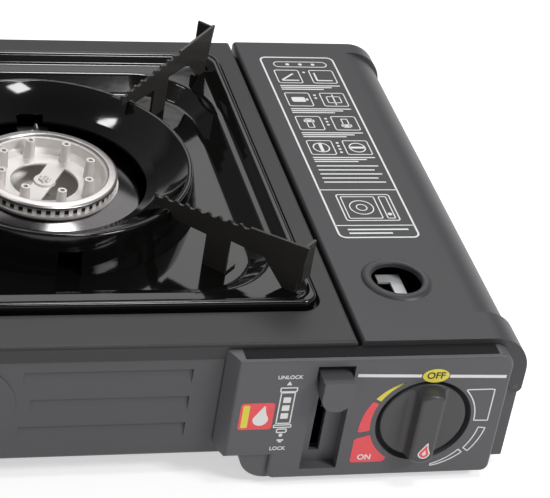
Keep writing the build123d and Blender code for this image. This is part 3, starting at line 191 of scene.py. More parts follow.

# Cartridge guide: the notched strip seen through the sight hole, screwed to the regulator.
# It is zinc-coated steel, duller than the plated parts, its tone painted paler as painted light for the light
# that falls through the sight hole into the dark bay.
guide_zinc_painted_light = finish("dull_zinc_painted_light", ("#d2d3d5", "#e6e7e8"), patch=7 * mm,
                    roughness=(0.40, 0.55), grain=0.8 * mm, relief=0.012 * mm, metallic=0.3)
dress(guide_zinc_painted_light, "cartridge_guide")

# Burner base, mixing tube and regulator: the gas way from the inlet to the burner.
# They are die-cast aluminium, shot-blasted to an even pale satin that scatters most of its light.
cast_aluminium = finish("blasted_cast_aluminium", ("#e2dedb", "#efebe8"), patch=14 * mm,
                        roughness=(0.38, 0.48), grain=0.7 * mm, relief=0.02 * mm, metallic=0.45)
dress(cast_aluminium, "burner_base", "mixing_tube", "regulator_body")

# Jet, spindle and gas pipe: the small gas ways, turned or drawn and soldered.
# They are brass, a little dulled by handling.
brass = finish("drawn_brass", ("#a8843c", "#c9a557"), patch=8 * mm,
               roughness=(0.22, 0.36), grain=0.8 * mm, relief=0.006 * mm, metallic=1.0)
dress(brass, "jet_holder", "valve_spindle", "gas_pipe")

# Igniter: a piezo block on the tray's wall, with the cam that the knob's spindle turns and its plunger.
# They are moulded in natural nylon, cream and half matt.
nylon = finish("natural_nylon", ("#cfc8b6", "#ded8c8"), patch=10 * mm,
               roughness=(0.42, 0.55), grain=0.9 * mm, relief=0.01 * mm)
dress(nylon, "igniter_cam", "igniter_body", "igniter_plunger")

# Electrode ceramic: the rod beside the burner that carries the spark wire, clamped in its plate.
# It is white glazed ceramic, glossy with a faint cream tint.
ceramic = finish("glazed_white_ceramic", ("#e9e6de", "#f2efe8"), patch=5 * mm,
                 roughness=(0.12, 0.2), grain=1.5 * mm, relief=0.004 * mm)
dress(ceramic, "electrode_ceramic")

# Top plate: pressed steel deck, folded down all round, with a sunk ledge that carries the drip pan.
# Its paint is blacker and duller than the body's, because it gets hot round the pan.
# Heat-proof paint: dull black with a fine dry grain, so only a faint sheen shows along the folds
heat_paint = finish("heat_proof_black_paint", ("#353434", "#3a3939"), patch=50 * mm,
                    roughness=(0.36, 0.44), grain=0.9 * mm, relief=0.016 * mm)
heat_paint.node_tree.nodes["Principled BSDF"].inputs["Specular IOR Level"].default_value = 0.36
softened("top_plate", "top_plate_pressing", heat_paint, edge=0.7 * mm)

# Burner dish: a shallow dome round the burner that closes the pan's opening and throws heat up.
# It is spun steel, polished bright, and clamped under the burner head.
head_low, head_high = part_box("burner_head")
burner_axis = Vector(((head_low.x + head_high.x) / 2, (head_low.y + head_high.y) / 2, 0.0))


def spun(axis, profile, steps, rounded=(), rounding=0.0):
    """A sheet spun round an upright axis from a profile of radii and heights, some corners rounded."""
    shape = bmesh.new()
    points = [shape.verts.new(axis + Vector((radius, 0.0, height))) for radius, height in profile]
    for pair in zip(points, points[1:]):
        shape.edges.new(pair)
    if rounded:
        bmesh.ops.bevel(shape, geom=[points[n] for n in rounded], offset=rounding, offset_type="OFFSET",
                        affect="VERTICES", segments=4, profile=0.5, material=-1)
    bmesh.ops.rotate(shape, verts=shape.verts, cent=axis, matrix=Matrix.Rotation(pi / steps, 3, "Z"))
    bmesh.ops.spin(shape, geom=shape.verts[:] + shape.edges[:], cent=axis, axis=(0.0, 0.0, 1.0),
                   angle=2 * pi, steps=steps, use_merge=True)
    bmesh.ops.remove_doubles(shape, verts=shape.verts, dist=0.001 * mm)
    bmesh.ops.recalc_face_normals(shape, faces=shape.faces)
    return shape


# Polished steel: a dark mirror, slightly uneven from the polishing, so lamps show as soft white patches
polished_steel = finish("polished_steel", ("#565455", "#626060"), patch=12 * mm,
                        roughness=(0.1, 0.16), grain=3 * mm, relief=0.004 * mm, metallic=1.0)
dish_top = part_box("burner_dish")[1].z
dish_profile = [
    (33.4 * mm, dish_top + 2.2 * mm), (36.0 * mm, dish_top + 1.7 * mm), (44.0 * mm, dish_top - 0.5 * mm),
    (52.0 * mm, dish_top - 2.7 * mm), (58.0 * mm, dish_top - 4.2 * mm),
]
dish = spun(burner_axis, dish_profile, steps=96)
bmesh.ops.solidify(dish, geom=dish.faces, thickness=0.6 * mm)
make_piece("burner_dish_polished", dish, polished_steel, "stove_body", ["burner_dish"])

# Burner head: a ring of square flame ports round a bowl with eight posts and a spoke that carries the hub.
# It is die-cast aluminium, cleaned by blasting, and rests on the base over the dish.
seat_z = head_high.z - 7.2 * mm
port_top = seat_z + 2.6 * mm
rim_z = head_high.z - 1.4 * mm
bowl_z = rim_z - 8.4 * mm
floor_thick = 1.2 * mm
mouth_radius = 16.6 * mm
port_radius = 34.4 * mm
head_profile = [
    (mouth_radius, bowl_z - floor_thick), (mouth_radius, bowl_z), (24.6 * mm, bowl_z),
    (28.0 * mm, bowl_z + 2.4 * mm), (29.4 * mm, rim_z - 1.7 * mm), (30.6 * mm, rim_z - 1.2 * mm),
    (port_radius, port_top), (port_radius, seat_z), (35.7 * mm, seat_z - 0.1 * mm),
    (36.1 * mm, seat_z - 0.6 * mm), (35.6 * mm, seat_z - 1.1 * mm), (33.6 * mm, seat_z - 1.2 * mm),
]
# The ring of ports in steps of its spin: two open, two closed
head_steps, port_pitch, port_width = 192, 4, 2
head = spun(burner_axis, head_profile, head_steps, rounded=(1, 2, 3), rounding=0.5 * mm)
ports = []
for face in head.faces:
    spot = face.calc_center_median() - burner_axis
    step = round(atan2(spot.y, spot.x) / (2 * pi) * head_steps)
    on_port_wall = seat_z < spot.z < port_top and spot.to_2d().length > port_radius - 0.4 * mm
    if on_port_wall and step % port_pitch < port_width:
        ports.append(face)
bmesh.ops.delete(head, geom=ports, context="FACES")


def round_burner(radius, bearing, height):
    """A point at a height, out from the burner's axis by a radius and at a bearing in degrees."""
    return burner_axis + Vector((radius * cos(radians(bearing)), radius * sin(radians(bearing)), height))


post_circle = 23.2 * mm
first_post, post_spacing = 10.5, 45
post_height = head_high.z - bowl_z
post_wall, bore_depth = 1.0 * mm, 4.0 * mm
for n in range(8):
    stand = round_burner(post_circle, first_post + post_spacing * n, bowl_z + post_height / 2)
    post = bmesh.ops.create_cone(head, cap_ends=True, segments=24, radius1=2.8 * mm, radius2=2.2 * mm,
                                 depth=post_height, matrix=Matrix.Translation(stand))["verts"]
    post_faces = {face for vert in post for face in vert.link_faces}
    top = max(post_faces, key=lambda face: face.calc_center_median().z)
    bmesh.ops.inset_region(head, faces=[top], thickness=post_wall, use_boundary=True, use_even_offset=True)
    bore = bmesh.ops.extrude_discrete_faces(head, faces=[top])["faces"]
    bmesh.ops.translate(head, vec=(0.0, 0.0, -bore_depth), verts=bore[0].verts)
spoke_place = Matrix.Translation(burner_axis + Vector((0.0, 0.0, bowl_z - floor_thick / 2)))
spoke_turn = Matrix.Rotation(radians(60), 4, "Z")
spoke_size = Matrix.Diagonal((34 * mm, 9 * mm, floor_thick, 1.0))
bmesh.ops.create_cube(head, size=1.0, matrix=spoke_place @ spoke_turn @ spoke_size)
hub_place = Matrix.Translation(burner_axis + Vector((0.0, 0.0, bowl_z + 0.4 * mm)))
bmesh.ops.create_cone(head, cap_ends=True, segments=40, radius1=5.8 * mm, radius2=5.2 * mm, depth=1.2 * mm,
                      matrix=hub_place)
petal_circle = 2.1 * mm
for n in range(7):
    petal = round_burner(petal_circle if n else 0.0, 60 * n, bowl_z + 1.0 * mm)
    bmesh.ops.create_uvsphere(head, u_segments=14, v_segments=8, radius=1.2 * mm,
                              matrix=Matrix.Translation(petal))
make_piece("burner_head_casting", head, cast_aluminium, "stove_body", ["burner_head"])

# Burner rim: the rounded top of the head, over the flame ports.
# It is the casting's own aluminium, turned on a lathe afterwards so that it lies true.
# Turned aluminium: clean metal with a tight sheen, so the rim shows as a crisp ring round the pale bowl
turned_aluminium = finish("turned_aluminium", ("#c4c0be", "#d2cecc"), patch=6 * mm,
                          roughness=(0.26, 0.34), grain=2 * mm, relief=0.002 * mm, metallic=1.0)
rim_profile = [
    (30.4 * mm, rim_z - 1.4 * mm), (30.8 * mm, rim_z - 0.3 * mm), (31.3 * mm, rim_z),
    (34.4 * mm, rim_z - 0.4 * mm), (35.5 * mm, rim_z - 1.1 * mm), (35.5 * mm, rim_z - 2.2 * mm),
    (34.3 * mm, port_top),
]
rim = spun(burner_axis, rim_profile, steps=96, rounded=(2, 3, 4, 5), rounding=0.25 * mm)
make_piece("burner_rim_turned", rim, turned_aluminium, "stove_body")

# Port shade: a band inside the burner, a little behind its flame ports.
# It is painted shade, a dead matt black sheet where the inside of the head lies in shade, so each port shows
# dark.
port_shade_black = finish("painted_port_shade", ("#0d0c0c", "#191716"), patch=5 * mm,
              roughness=(0.7, 0.9), grain=0.8 * mm, relief=0.02 * mm)
port_shade_radius = 33.7 * mm
port_shade_band = spun(burner_axis, [(port_shade_radius, port_top), (port_shade_radius, seat_z)], steps=96)
make_piece("burner_port_shade", port_shade_band, port_shade_black, "stove_body")

# Drip pan: a square pressing with a raised rim, a narrow land and a sunk basin with wide round corners.
# It is deep-drawn steel with soft folds, coated in thick glossy black enamel, and lifts off.
# Vitreous enamel: near-black glass with a slow wave of about 2 cm, so it mirrors the room in soft bands
enamel = finish("black_vitreous_enamel", ("#0b0a0a", "#100f0e"), patch=40 * mm,
                roughness=(0.05, 0.09), grain=18 * mm, relief=0.05 * mm)
pan_low, pan_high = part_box("drip_pan")
half_width = (pan_high.x - pan_low.x) / 2
half_depth = (pan_high.y - pan_low.y) / 2
crest_z = pan_high.z
land_z = crest_z - 4.5 * mm
basin_z = crest_z - 12.0 * mm
pan_fall = 0.2 * mm
pan_bore = 66.0 * mm
pan_fold = 1.5 * mm
pan_sheet = 1.0 * mm
# Each station inwards: its inset at the sides, its inset at front and back, its height, its corners' radius
pan_stations = [
    (0.0, 0.0, crest_z - 8.0 * mm, 8.0 * mm),
    (0.0, 0.0, crest_z - pan_fall, 8.0 * mm),
    (3.5 * mm, 3.5 * mm, crest_z, 8.0 * mm),
    (8.0 * mm, 8.0 * mm, land_z, 8.0 * mm),
    (11.0 * mm, 16.0 * mm, land_z - pan_fall, 40.0 * mm),
    (21.0 * mm, 26.0 * mm, basin_z, 30.0 * mm),
]


def rounded_loop(shape, inset_x, inset_y, height, corner):
    """A rounded rectangle round the burner as a closed loop of edges."""
    older = set(shape.edges)
    corners = bmesh.ops.create_grid(shape, x_segments=1, y_segments=1, size=1.0)["verts"]
    bmesh.ops.scale(shape, vec=(half_width - inset_x, half_depth - inset_y, 1.0), verts=corners)
    bmesh.ops.translate(shape, vec=burner_axis + Vector((0.0, 0.0, height)), verts=corners)
    bmesh.ops.delete(shape, geom=corners[0].link_faces[:], context="FACES_ONLY")
    bmesh.ops.bevel(shape, geom=corners, offset=corner, offset_type="OFFSET", affect="VERTICES",
                    segments=12, profile=0.5, material=-1)
    return [edge for edge in shape.edges if edge not in older]


pan = bmesh.new()
pan_loops = [rounded_loop(pan, *station) for station in pan_stations]
older_edges = set(pan.edges)
hole = bmesh.ops.create_circle(pan, segments=len(pan_loops[0]), radius=pan_bore)["verts"]
bmesh.ops.translate(pan, vec=burner_axis + Vector((0.0, 0.0, basin_z - pan_fall)), verts=hole)
pan_loops.append([edge for edge in pan.edges if edge not in older_edges])
folds = [edge for loop in pan_loops[1:-1] for edge in loop]
for outer, inner in zip(pan_loops, pan_loops[1:]):
    bmesh.ops.bridge_loops(pan, edges=outer + inner)
bmesh.ops.recalc_face_normals(pan, faces=pan.faces)
bmesh.ops.bevel(pan, geom=folds, offset=pan_fold, offset_type="OFFSET", affect="EDGES", segments=4,
                profile=0.5, material=-1, clamp_overlap=True)
bmesh.ops.solidify(pan, geom=pan.faces, thickness=pan_sheet)
keep_flats(make_piece("drip_pan_enamelled", pan, enamel, "pan_set", ["drip_pan"]))

# Wind ring: a conical collar that sits on the pan floor round the burner, with a rolled rim.
# It is spun from sheet and enamelled like the pan, vented at its foot in front and notched for the spark.
ring_low, ring_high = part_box("wind_ring")
bore_z = ring_high.z - 12.7 * mm
vent_z = ring_low.z + 12.0 * mm
vent_half, vent_front = 7.4 * mm, -72.0 * mm
notch_half, notch_reach = 7.0 * mm, 53.0 * mm
ring_sheet = 1.0 * mm
ring_profile = [
    (76.0 * mm, ring_low.z), (73.5 * mm, vent_z), (71.7 * mm, ring_high.z - 0.4 * mm),
    (69.7 * mm, ring_high.z - 0.2 * mm), (67.0 * mm, ring_high.z - 2.7 * mm),
    (63.5 * mm, ring_high.z - 5.3 * mm), (59.5 * mm, ring_high.z - 7.9 * mm),
    (55.0 * mm, bore_z + 2.1 * mm), (50.2 * mm, bore_z), (50.2 * mm, bore_z - 1.2 * mm),
]
ring = spun(burner_axis, ring_profile, steps=120, rounded=(2, 3, 7), rounding=0.9 * mm)
gaps = []
for face in ring.faces:
    spot = face.calc_center_median() - burner_axis
    in_vent = abs(spot.x) < vent_half and spot.y < vent_front and spot.z < vent_z
    in_notch = abs(spot.x) < notch_half and 0.0 < spot.y < notch_reach
    if in_vent or in_notch:
        gaps.append(face)
bmesh.ops.delete(ring, geom=gaps, context="FACES")
bmesh.ops.solidify(ring, geom=ring.faces, thickness=ring_sheet)
keep_flats(make_piece("wind_ring_enamelled", ring, enamel, "pan_set", ["wind_ring"]))

# Pan supports: four serrated plates on the pan's diagonals, hooked over the ring.
# They are blanked steel sheet, spot-welded through their feet.
# Satin enamel: black enamel with a satin finish, its tone painted greyer as a painted reflection of the pale
# room in the plates' faces
support_enamel_painted_grey = finish("satin_enamel_painted_reflection", ("#333230", "#3b3936"), patch=30 * mm,
                       roughness=(0.2, 0.28), grain=6 * mm, relief=0.03 * mm)
for corner in ("back_right", "back_left", "front_left", "front_right"):
    softened(f"pan_support_{corner}", f"pan_support_{corner}_enamelled", support_enamel_painted_grey,
             edge=0.3 * mm)

# Cartridge lid: a pressed cover over the cartridge, hinged at its outer edge, with a raised sight hole.
# It is painted steel like the body, rolled at its free edge and rounded over its outer shoulder.
# Lid paint: the body's coat in a darker tone, painted shade that offsets the stronger overhead light on the
# lid's flat against the walls below it
lid_paint_painted_shade = finish("charcoal_paint_painted_darker", ("#39393c", "#3f3f42"), patch=60 * mm,
                   roughness=(0.37, 0.45), grain=1.1 * mm, relief=0.012 * mm)
softened("cartridge_lid", "cartridge_lid_pressing", lid_paint_painted_shade, edge=0.5 * mm)
lid_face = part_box("cartridge_lid")[1].z - 1.0 * mm
sight_axis = Vector((112.5 * mm, -80.8 * mm, 0.0))
sight_profile = [
    (17.4 * mm, lid_face), (16.5 * mm, lid_face + 0.9 * mm), (15.0 * mm, lid_face + 1.5 * mm),
    (13.2 * mm, lid_face + 1.3 * mm), (12.5 * mm, lid_face + 0.7 * mm), (12.3 * mm, lid_face - 1.2 * mm),
]
sight_rim = spun(sight_axis, sight_profile, steps=64, rounded=(1, 2, 3, 4), rounding=0.4 * mm)
make_piece("sight_rim", sight_rim, lid_paint_painted_shade, "lid")

# Control panel and lever tab: a moulded cover in front of the regulator, and the thumb piece in its channel.
# Both are grey ABS with a fine spark-eroded texture; screws from inside the tray hold the cover.
panel_plastic = finish("moulded_grey_abs", ("#58575b", "#5e5d61"), patch=45 * mm,
                       roughness=(0.42, 0.5), grain=0.8 * mm, relief=0.015 * mm)
softened("control_panel", "control_panel_moulding", panel_plastic, edge=0.5 * mm)
softened("lever_tab", "lever_tab_moulding", panel_plastic, edge=0.7 * mm)

# Shadow strip: a strip along the top of the panel, under the front edges of lid and top plate.
# It is painted shadow, a dark sheet set in the shaded gap between the lid's front edge and the panel.
# Dead black with an open grain, a painted shadow that swallows the light below the bright edges
shadow_gap_black = finish("painted_shadow_gap_black", ("#0e0e0e", "#181818"), patch=4 * mm,
              roughness=(0.85, 0.95), grain=0.5 * mm, relief=0.05 * mm)
panel_low, panel_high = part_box("control_panel")
shadow_strip = bmesh.new()
shadow_strip_place = Matrix.Translation((panel_high.x - 69.0 * mm, panel_low.y + 5.7 * mm, panel_high.z))
shadow_strip_size = Matrix.Diagonal((122 * mm, 7.6 * mm, 0.6 * mm, 1.0))
bmesh.ops.create_cube(shadow_strip, size=1.0, matrix=shadow_strip_place @ shadow_strip_size)
make_piece("lid_gap_painted_shadow", shadow_strip, shadow_gap_black, "stove_body")

# Dial markings: flame sizes round the knob, with the legends of its two ends, in yellow, red and white ink.
# They are pad-printed on the panel in thin films, the letters over the coloured grounds.
panel_face = panel_low.y
knob_low, knob_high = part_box("knob")
dial_centre = Vector(((knob_low.x + knob_high.x) / 2, (knob_low.z + knob_high.z) / 2, 0.0))
facing_front = Matrix.Rotation(pi / 2, 4, "X")
on_panel = Matrix.Translation((0.0, panel_face, 0.0)) @ facing_front
film = 0.06 * mm


def ink(name, tones):
    """Printing ink, with the slight unevenness of a thin film."""
    return finish(name, tones, patch=4 * mm, roughness=(0.42, 0.55), grain=0.6 * mm, relief=0.004 * mm)


# Inks: opaque and slightly uneven, brighter than the plastic and less shiny
white_ink = ink("white_pad_print_ink", ("#f4f4f2", "#fbfbf9"))
red_ink = ink("red_pad_print_ink", ("#f9545a", "#ff666b"))
yellow_ink = ink("yellow_pad_print_ink", ("#f0e044", "#f7ea60"))
dark_ink = ink("dark_pad_print_ink", ("#2c2a1c", "#383522"))


def lay_print(name, shape, colour, body, place, layer=1):
    """Gives a flat shape the thickness of a film and lays it on a face, as the layer that it is."""
    bmesh.ops.recalc_face_normals(shape, faces=shape.faces)
    bmesh.ops.reverse_faces(shape, faces=[face for face in shape.faces if face.normal.z < 0])
    bmesh.ops.solidify(shape, geom=shape.faces, thickness=2 * film)
    high = max(vert.co.z for vert in shape.verts)
    bmesh.ops.translate(shape, vec=(0.0, 0.0, layer * film - high), verts=shape.verts)
    bmesh.ops.transform(shape, matrix=place, verts=shape.verts)
    make_piece(name, shape, colour, body)


def bar(shape, start, end, width):
    """A straight bar of ink between two points, in millimetres."""
    start, end = Vector((*start, 0.0)) * mm, Vector((*end, 0.0)) * mm
    along = end - start
    middle = Matrix.Translation((start + end) / 2)
    turn = Matrix.Rotation(atan2(along.y, along.x), 4, "Z")
    size = Matrix.Diagonal((along.length, width * mm, 1.0, 1.0))
    bmesh.ops.create_grid(shape, x_segments=1, y_segments=1, size=0.5, matrix=middle @ turn @ size)


def outlined(shape, face, width):
    """Leaves only an outline of a flat face, of a width in millimetres."""
    bmesh.ops.inset_region(shape, faces=[face], thickness=width * mm, use_boundary=True, use_even_offset=True)
    bmesh.ops.delete(shape, geom=[face], context="FACES_ONLY")


def lettering(shape, words, height, x, y):
    """Flat letters of a cap height round a point, in millimetres, a little bolder than the font."""
    cap_share, boldness = 0.7, 0.03
    text = bpy.data.curves.new(words, "FONT")
    text.body = words
    text.align_x = "CENTER"
    text.align_y = "CENTER"
    text.size = height * mm / cap_share
    text.offset = boldness * height * mm
    holder = bpy.data.objects.new(words, text)
    letters = bpy.data.meshes.new_from_object(holder)
    bpy.data.objects.remove(holder)
    letters.transform(Matrix.Translation((x * mm, y * mm, 0.0)))
    shape.from_mesh(letters)
    bmesh.ops.remove_doubles(shape, verts=shape.verts, dist=0.0005 * mm)


def dial_band(shape, start, stop, inner, widths=None, lines=None, outline=0.0, corner=0.4):
    """A band round the knob between two angles, growing between two widths or reaching to two edge lines."""
    first = Matrix.Rotation(radians(start), 3, "Z") @ Vector((inner * mm, 0.0, 0.0))
    seed = shape.verts.new(dial_centre + first)
    bmesh.ops.spin(shape, geom=[seed], cent=dial_centre, axis=(0.0, 0.0, 1.0), angle=radians(stop - start),
                   steps=24)
    grown = bmesh.ops.extrude_edge_only(shape, edges=[edge for edge in shape.edges if edge.is_wire])["geom"]
    for vert in (item for item in grown if isinstance(item, bmesh.types.BMVert)):
        away = (vert.co - dial_centre).normalized()
        if lines:
            reaches = ((lines[0] * mm - dial_centre.x) / away.x, (lines[1] * mm - dial_centre.y) / away.y)
            reach = min(length for length in reaches if length > 0)
        else:
            share = (degrees(atan2(away.y, away.x)) % 360 - start) / (stop - start)
            reach = (inner + widths[0] + (widths[1] - widths[0]) * share) * mm
        vert.co = dial_centre + away * reach
    faces = [item for item in grown if isinstance(item, bmesh.types.BMFace)]
    whole, = bmesh.ops.dissolve_faces(shape, faces=faces)["region"]
    turns = [vert for vert in whole.verts if vert.calc_edge_angle() > radians(30)]
    rounded = bmesh.ops.bevel(shape, geom=turns, offset=corner * mm, offset_type="OFFSET", affect="VERTICES",
                              segments=5, profile=0.5, material=-1)["verts"]
    if outline:
        outlined(shape, rounded[0].link_faces[0], outline)


off_x, off_y = 117.9, 63.8
off_ground = bmesh.new()
oval = bmesh.ops.create_circle(off_ground, cap_ends=True, segments=48, radius=1.0)["verts"]
bmesh.ops.scale(off_ground, vec=(6.5 * mm, 3.9 * mm, 1.0), verts=oval)
bmesh.ops.translate(off_ground, vec=(off_x * mm, off_y * mm, 0.0), verts=oval)
lay_print("off_ground", off_ground, yellow_ink, "stove_body", on_panel)
off_letters = bmesh.new()
lettering(off_letters, "OFF", 3.6, off_x, off_y)
lay_print("off_letters", off_letters, dark_ink, "stove_body", on_panel, layer=2)
flame_inner = 26.0
low_flame = bmesh.new()
dial_band(low_flame, 120, 152, flame_inner, widths=(0.4, 3.0))
lay_print("low_flame_mark", low_flame, yellow_ink, "stove_body", on_panel)
high_flame = bmesh.new()
dial_band(high_flame, 155.5, 191, flame_inner, widths=(3.2, 5.8), corner=1.0)
lay_print("high_flame_mark", high_flame, red_ink, "stove_body", on_panel)
on_ground = bmesh.new()
dial_band(on_ground, 197, 236, flame_inner, lines=(84.3, 13.4), corner=1.2)
lay_print("on_ground", on_ground, red_ink, "stove_body", on_panel)
on_letters = bmesh.new()
lettering(on_letters, "ON", 3.0, 91.0, 16.4)
lay_print("on_letters", on_letters, white_ink, "stove_body", on_panel, layer=2)
fine_line, broad_line = 0.6, 1.7
dial_lines = bmesh.new()
bar(dial_lines, (79.6, 65.0), (110.8, 63.9), broad_line)
bar(dial_lines, (124.8, 63.4), (153.0, 62.4), broad_line)
dial_band(dial_lines, -2, 44, 25.0, lines=(149.2, 55.4), outline=fine_line)
dial_band(dial_lines, 323, 351, 28.6, widths=(3.8, 4.2), outline=fine_line)
dial_band(dial_lines, 287, 320, 27.4, widths=(1.6, 3.2), outline=fine_line)
lay_print("dial_lines", dial_lines, white_ink, "stove_body", on_panel)


# Lever markings: a cartridge between two arrows with the legends of the lever's two ends, and a flame badge.
# They are pad-printed in white beside the lever's channel, the badge in red, yellow and white.
def plate(shape, left, low, right, high, corner, line=0.0):
    """A flat plate of ink in millimetres with rounded corners, or its outline if it has a line width."""
    middle = Matrix.Translation(((left + right) / 2 * mm, (low + high) / 2 * mm, 0.0))
    size = Matrix.Diagonal(((right - left) * mm, (high - low) * mm, 1.0, 1.0))
    corners = bmesh.ops.create_grid(shape, x_segments=1, y_segments=1, size=0.5,
                                    matrix=middle @ size)["verts"]
    rounded = bmesh.ops.bevel(shape, geom=corners, offset=corner * mm, offset_type="OFFSET",
                              affect="VERTICES", segments=6, profile=0.5, material=-1)["verts"]
    if line:
        outlined(shape, rounded[0].link_faces[0], line)


def disc(shape, x, y, radius, line=0.0, segments=32):
    """A flat disc of ink in millimetres, or its outline if it has a line width; three segments point up."""
    rim = bmesh.ops.create_circle(shape, cap_ends=True, segments=segments, radius=radius * mm,
                                  matrix=Matrix.Translation((x * mm, y * mm, 0.0)))["verts"]
    if line:
        outlined(shape, rim[0].link_faces[0], line)


lever_marks = bmesh.new()
lettering(lever_marks, "UNLOCK", 2.0, 47.4, 64.9)
disc(lever_marks, 47.5, 61.2, 1.5, segments=3)
plate(lever_marks, 43.6, 56.4, 52.0, 59.2, 0.4, fine_line)
plate(lever_marks, 44.2, 38.0, 51.4, 56.4, 0.3, fine_line)
for low in (41.0, 45.6, 50.2):
    plate(lever_marks, 46.0, low, 49.6, low + 3.2, 0.3)
plate(lever_marks, 43.4, 35.6, 52.2, 37.6, 0.4, fine_line)
plate(lever_marks, 45.2, 32.6, 50.4, 35.2, 0.9, fine_line)
plate(lever_marks, 47.0, 30.4, 48.6, 32.2, 0.3)
bar(lever_marks, (46.4, 28.4), (49.6, 28.4), 0.8)
bar(lever_marks, (47.2, 27.4), (48.8, 27.4), 0.8)
lettering(lever_marks, "LOCK", 2.0, 47.4, 23.4)
lay_print("lever_marks", lever_marks, white_ink, "stove_body", on_panel)
badge_ground = bmesh.new()
plate(badge_ground, 26.4, 35.0, 42.6, 50.4, 1.6)
lay_print("badge_ground", badge_ground, red_ink, "stove_body", on_panel)
badge_strip = bmesh.new()
plate(badge_strip, 27.6, 36.2, 30.8, 49.2, 0.8)
lay_print("badge_strip", badge_strip, yellow_ink, "stove_body", on_panel, layer=2)


def flame(shape, x, y, size):
    """A flat flame in millimetres: a disc drawn out upwards to a point that leans a little."""
    drawn_out, narrowed, leaning = 1.1, 0.5, 0.35
    rim = bmesh.ops.create_circle(shape, cap_ends=True, segments=48, radius=size * mm,
                                  matrix=Matrix.Translation((x * mm, y * mm, 0.0)))["verts"]
    for vert in rim:
        rise = max(0.0, vert.co.y / mm - y) / size
        vert.co.y += drawn_out * size * mm * rise ** 4
        aside = (vert.co.x / mm - x) * (1 - narrowed * rise ** 2) + leaning * size * rise ** 4
        vert.co.x = (x + aside) * mm


badge_flame = bmesh.new()
flame(badge_flame, 36.6, 41.0, 3.7)
lay_print("badge_flame", badge_flame, white_ink, "stove_body", on_panel, layer=2)

# Recess shade: a thin black disc at the bottom of the knob's recess, which closes the view past the knob's
# rim.
# It is painted shade, a dark sheet laid where the recess round the knob lies in shade, so the gap round the
# knob shows dark.
knob_back = knob_high.y
recess_shade_disc = bmesh.new()
bmesh.ops.create_circle(recess_shade_disc, cap_ends=True, segments=96, radius=23.2 * mm)
in_recess = Matrix.Translation((dial_centre.x, knob_back + 0.5 * mm, dial_centre.y)) @ facing_front
lay_print("recess_painted_shade", recess_shade_disc, black_rubber, "stove_body", in_recess)

# Knob: a moulded disc sunk in the panel's recess, with a tall grip across it, pressed on the valve spindle.
# It is black ABS, a little glossier than the panel where fingers have polished it.
# A flame printed on the end of the grip points to the markings.
knob_plastic = finish("moulded_black_abs", ("#434345", "#49494b"), patch=30 * mm,
                      roughness=(0.34, 0.42), grain=0.8 * mm, relief=0.01 * mm)
knob_front = knob_low.y + 0.2 * mm
knob_radius = (knob_high.x - knob_low.x) / 2
disc_height = 2.4 * mm
knob = bmesh.new()
bmesh.ops.create_cone(knob, cap_ends=True, segments=96, radius1=knob_radius, radius2=knob_radius - 0.3 * mm,
                      depth=disc_height, matrix=Matrix.Translation((0.0, 0.0, disc_height / 2)))
disc_rim = [edge for edge in knob.edges if all(vert.co.z > disc_height / 2 for vert in edge.verts)]
bmesh.ops.bevel(knob, geom=disc_rim, offset=0.9 * mm, offset_type="OFFSET", affect="EDGES", segments=4,
                profile=0.5, material=-1)
# Each station of the grip, in millimetres: its half width, its half length, its share of the grip's height
grip_stations = [
    (9.6, 20.6, 0.0), (8.0, 20.5, 0.08), (7.1, 20.4, 0.22), (6.5, 20.3, 0.42),
    (5.9, 20.1, 0.80), (5.6, 19.7, 0.91), (5.0, 19.0, 0.98), (4.2, 18.1, 1.0),
]
grip_foot = grip_stations[0][0] * mm
grip_height = knob_back - knob_front - disc_height
grip = bmesh.new()
bmesh.ops.create_circle(grip, cap_ends=True, segments=96, radius=knob_radius - 0.6 * mm)
for side in (-1, 1):
    bmesh.ops.bisect_plane(grip, geom=grip.verts[:] + grip.edges[:] + grip.faces[:],
                           plane_co=(side * grip_foot, 0.0, 0.0), plane_no=(side, 0.0, 0.0), clear_outer=True)
for (wide, long, low), (next_wide, next_long, high) in zip(grip_stations, grip_stations[1:]):
    top = max(grip.faces, key=lambda face: face.calc_center_median().z)
    raised = bmesh.ops.extrude_face_region(grip, geom=[top])["geom"]
    bmesh.ops.delete(grip, geom=[top], context="FACES_ONLY")
    lifted = [item for item in raised if isinstance(item, bmesh.types.BMVert)]
    bmesh.ops.translate(grip, vec=(0.0, 0.0, (high - low) * grip_height), verts=lifted)
    bmesh.ops.scale(grip, vec=(next_wide / wide, next_long / long, 1.0), verts=lifted)
bmesh.ops.translate(grip, vec=(0.0, 0.0, disc_height), verts=grip.verts)
grip_skin = bpy.data.meshes.new("grip")
grip.to_mesh(grip_skin)
grip.free()
knob.from_mesh(grip_skin)
on_knob = Matrix.Translation((dial_centre.x, knob_back, dial_centre.y)) @ facing_front
bmesh.ops.transform(knob, matrix=on_knob, verts=knob.verts)
bmesh.ops.recalc_face_normals(knob, faces=knob.faces)
keep_flats(make_piece("knob_moulding", knob, knob_plastic, "gas_knob", ["knob"]))
on_grip = Matrix.Translation((dial_centre.x, knob_front, dial_centre.y)) @ facing_front
pointer_films = [("flame_edge", 3.0, white_ink), ("flame_body", 2.3, red_ink), ("flame_core", 1.0, white_ink)]
for layer, (name, size, colour) in enumerate(pointer_films, 1):
    pointer = bmesh.new()
    flame(pointer, 0.6, -13.6, size)
    lay_print(name, pointer, colour, "gas_knob", on_grip, layer)

# Lid label: a framed picture guide to the cartridge's fitting, in four steps above a plan of the stove.
# It is screen-printed on the flat of the lid in one white film, after the paint is baked.
label_left, label_right = 93.4, 135.6
margin, second_column, picture_side = 98.5, 118.0, 14.0
label = bmesh.new()
plate(label, label_left, -41.0, label_right, 135.0, 4.0, 1.0)
for y in (2.0, -30.0):
    bar(label, (label_left + 0.5, y), (label_right - 0.5, y), 0.7)
plate(label, 100.0, 124.0, 130.5, 130.0, 3.0, fine_line)
for n in range(3):
    disc(label, 108.0 + 7.2 * n, 127.0, 1.1, segments=20)
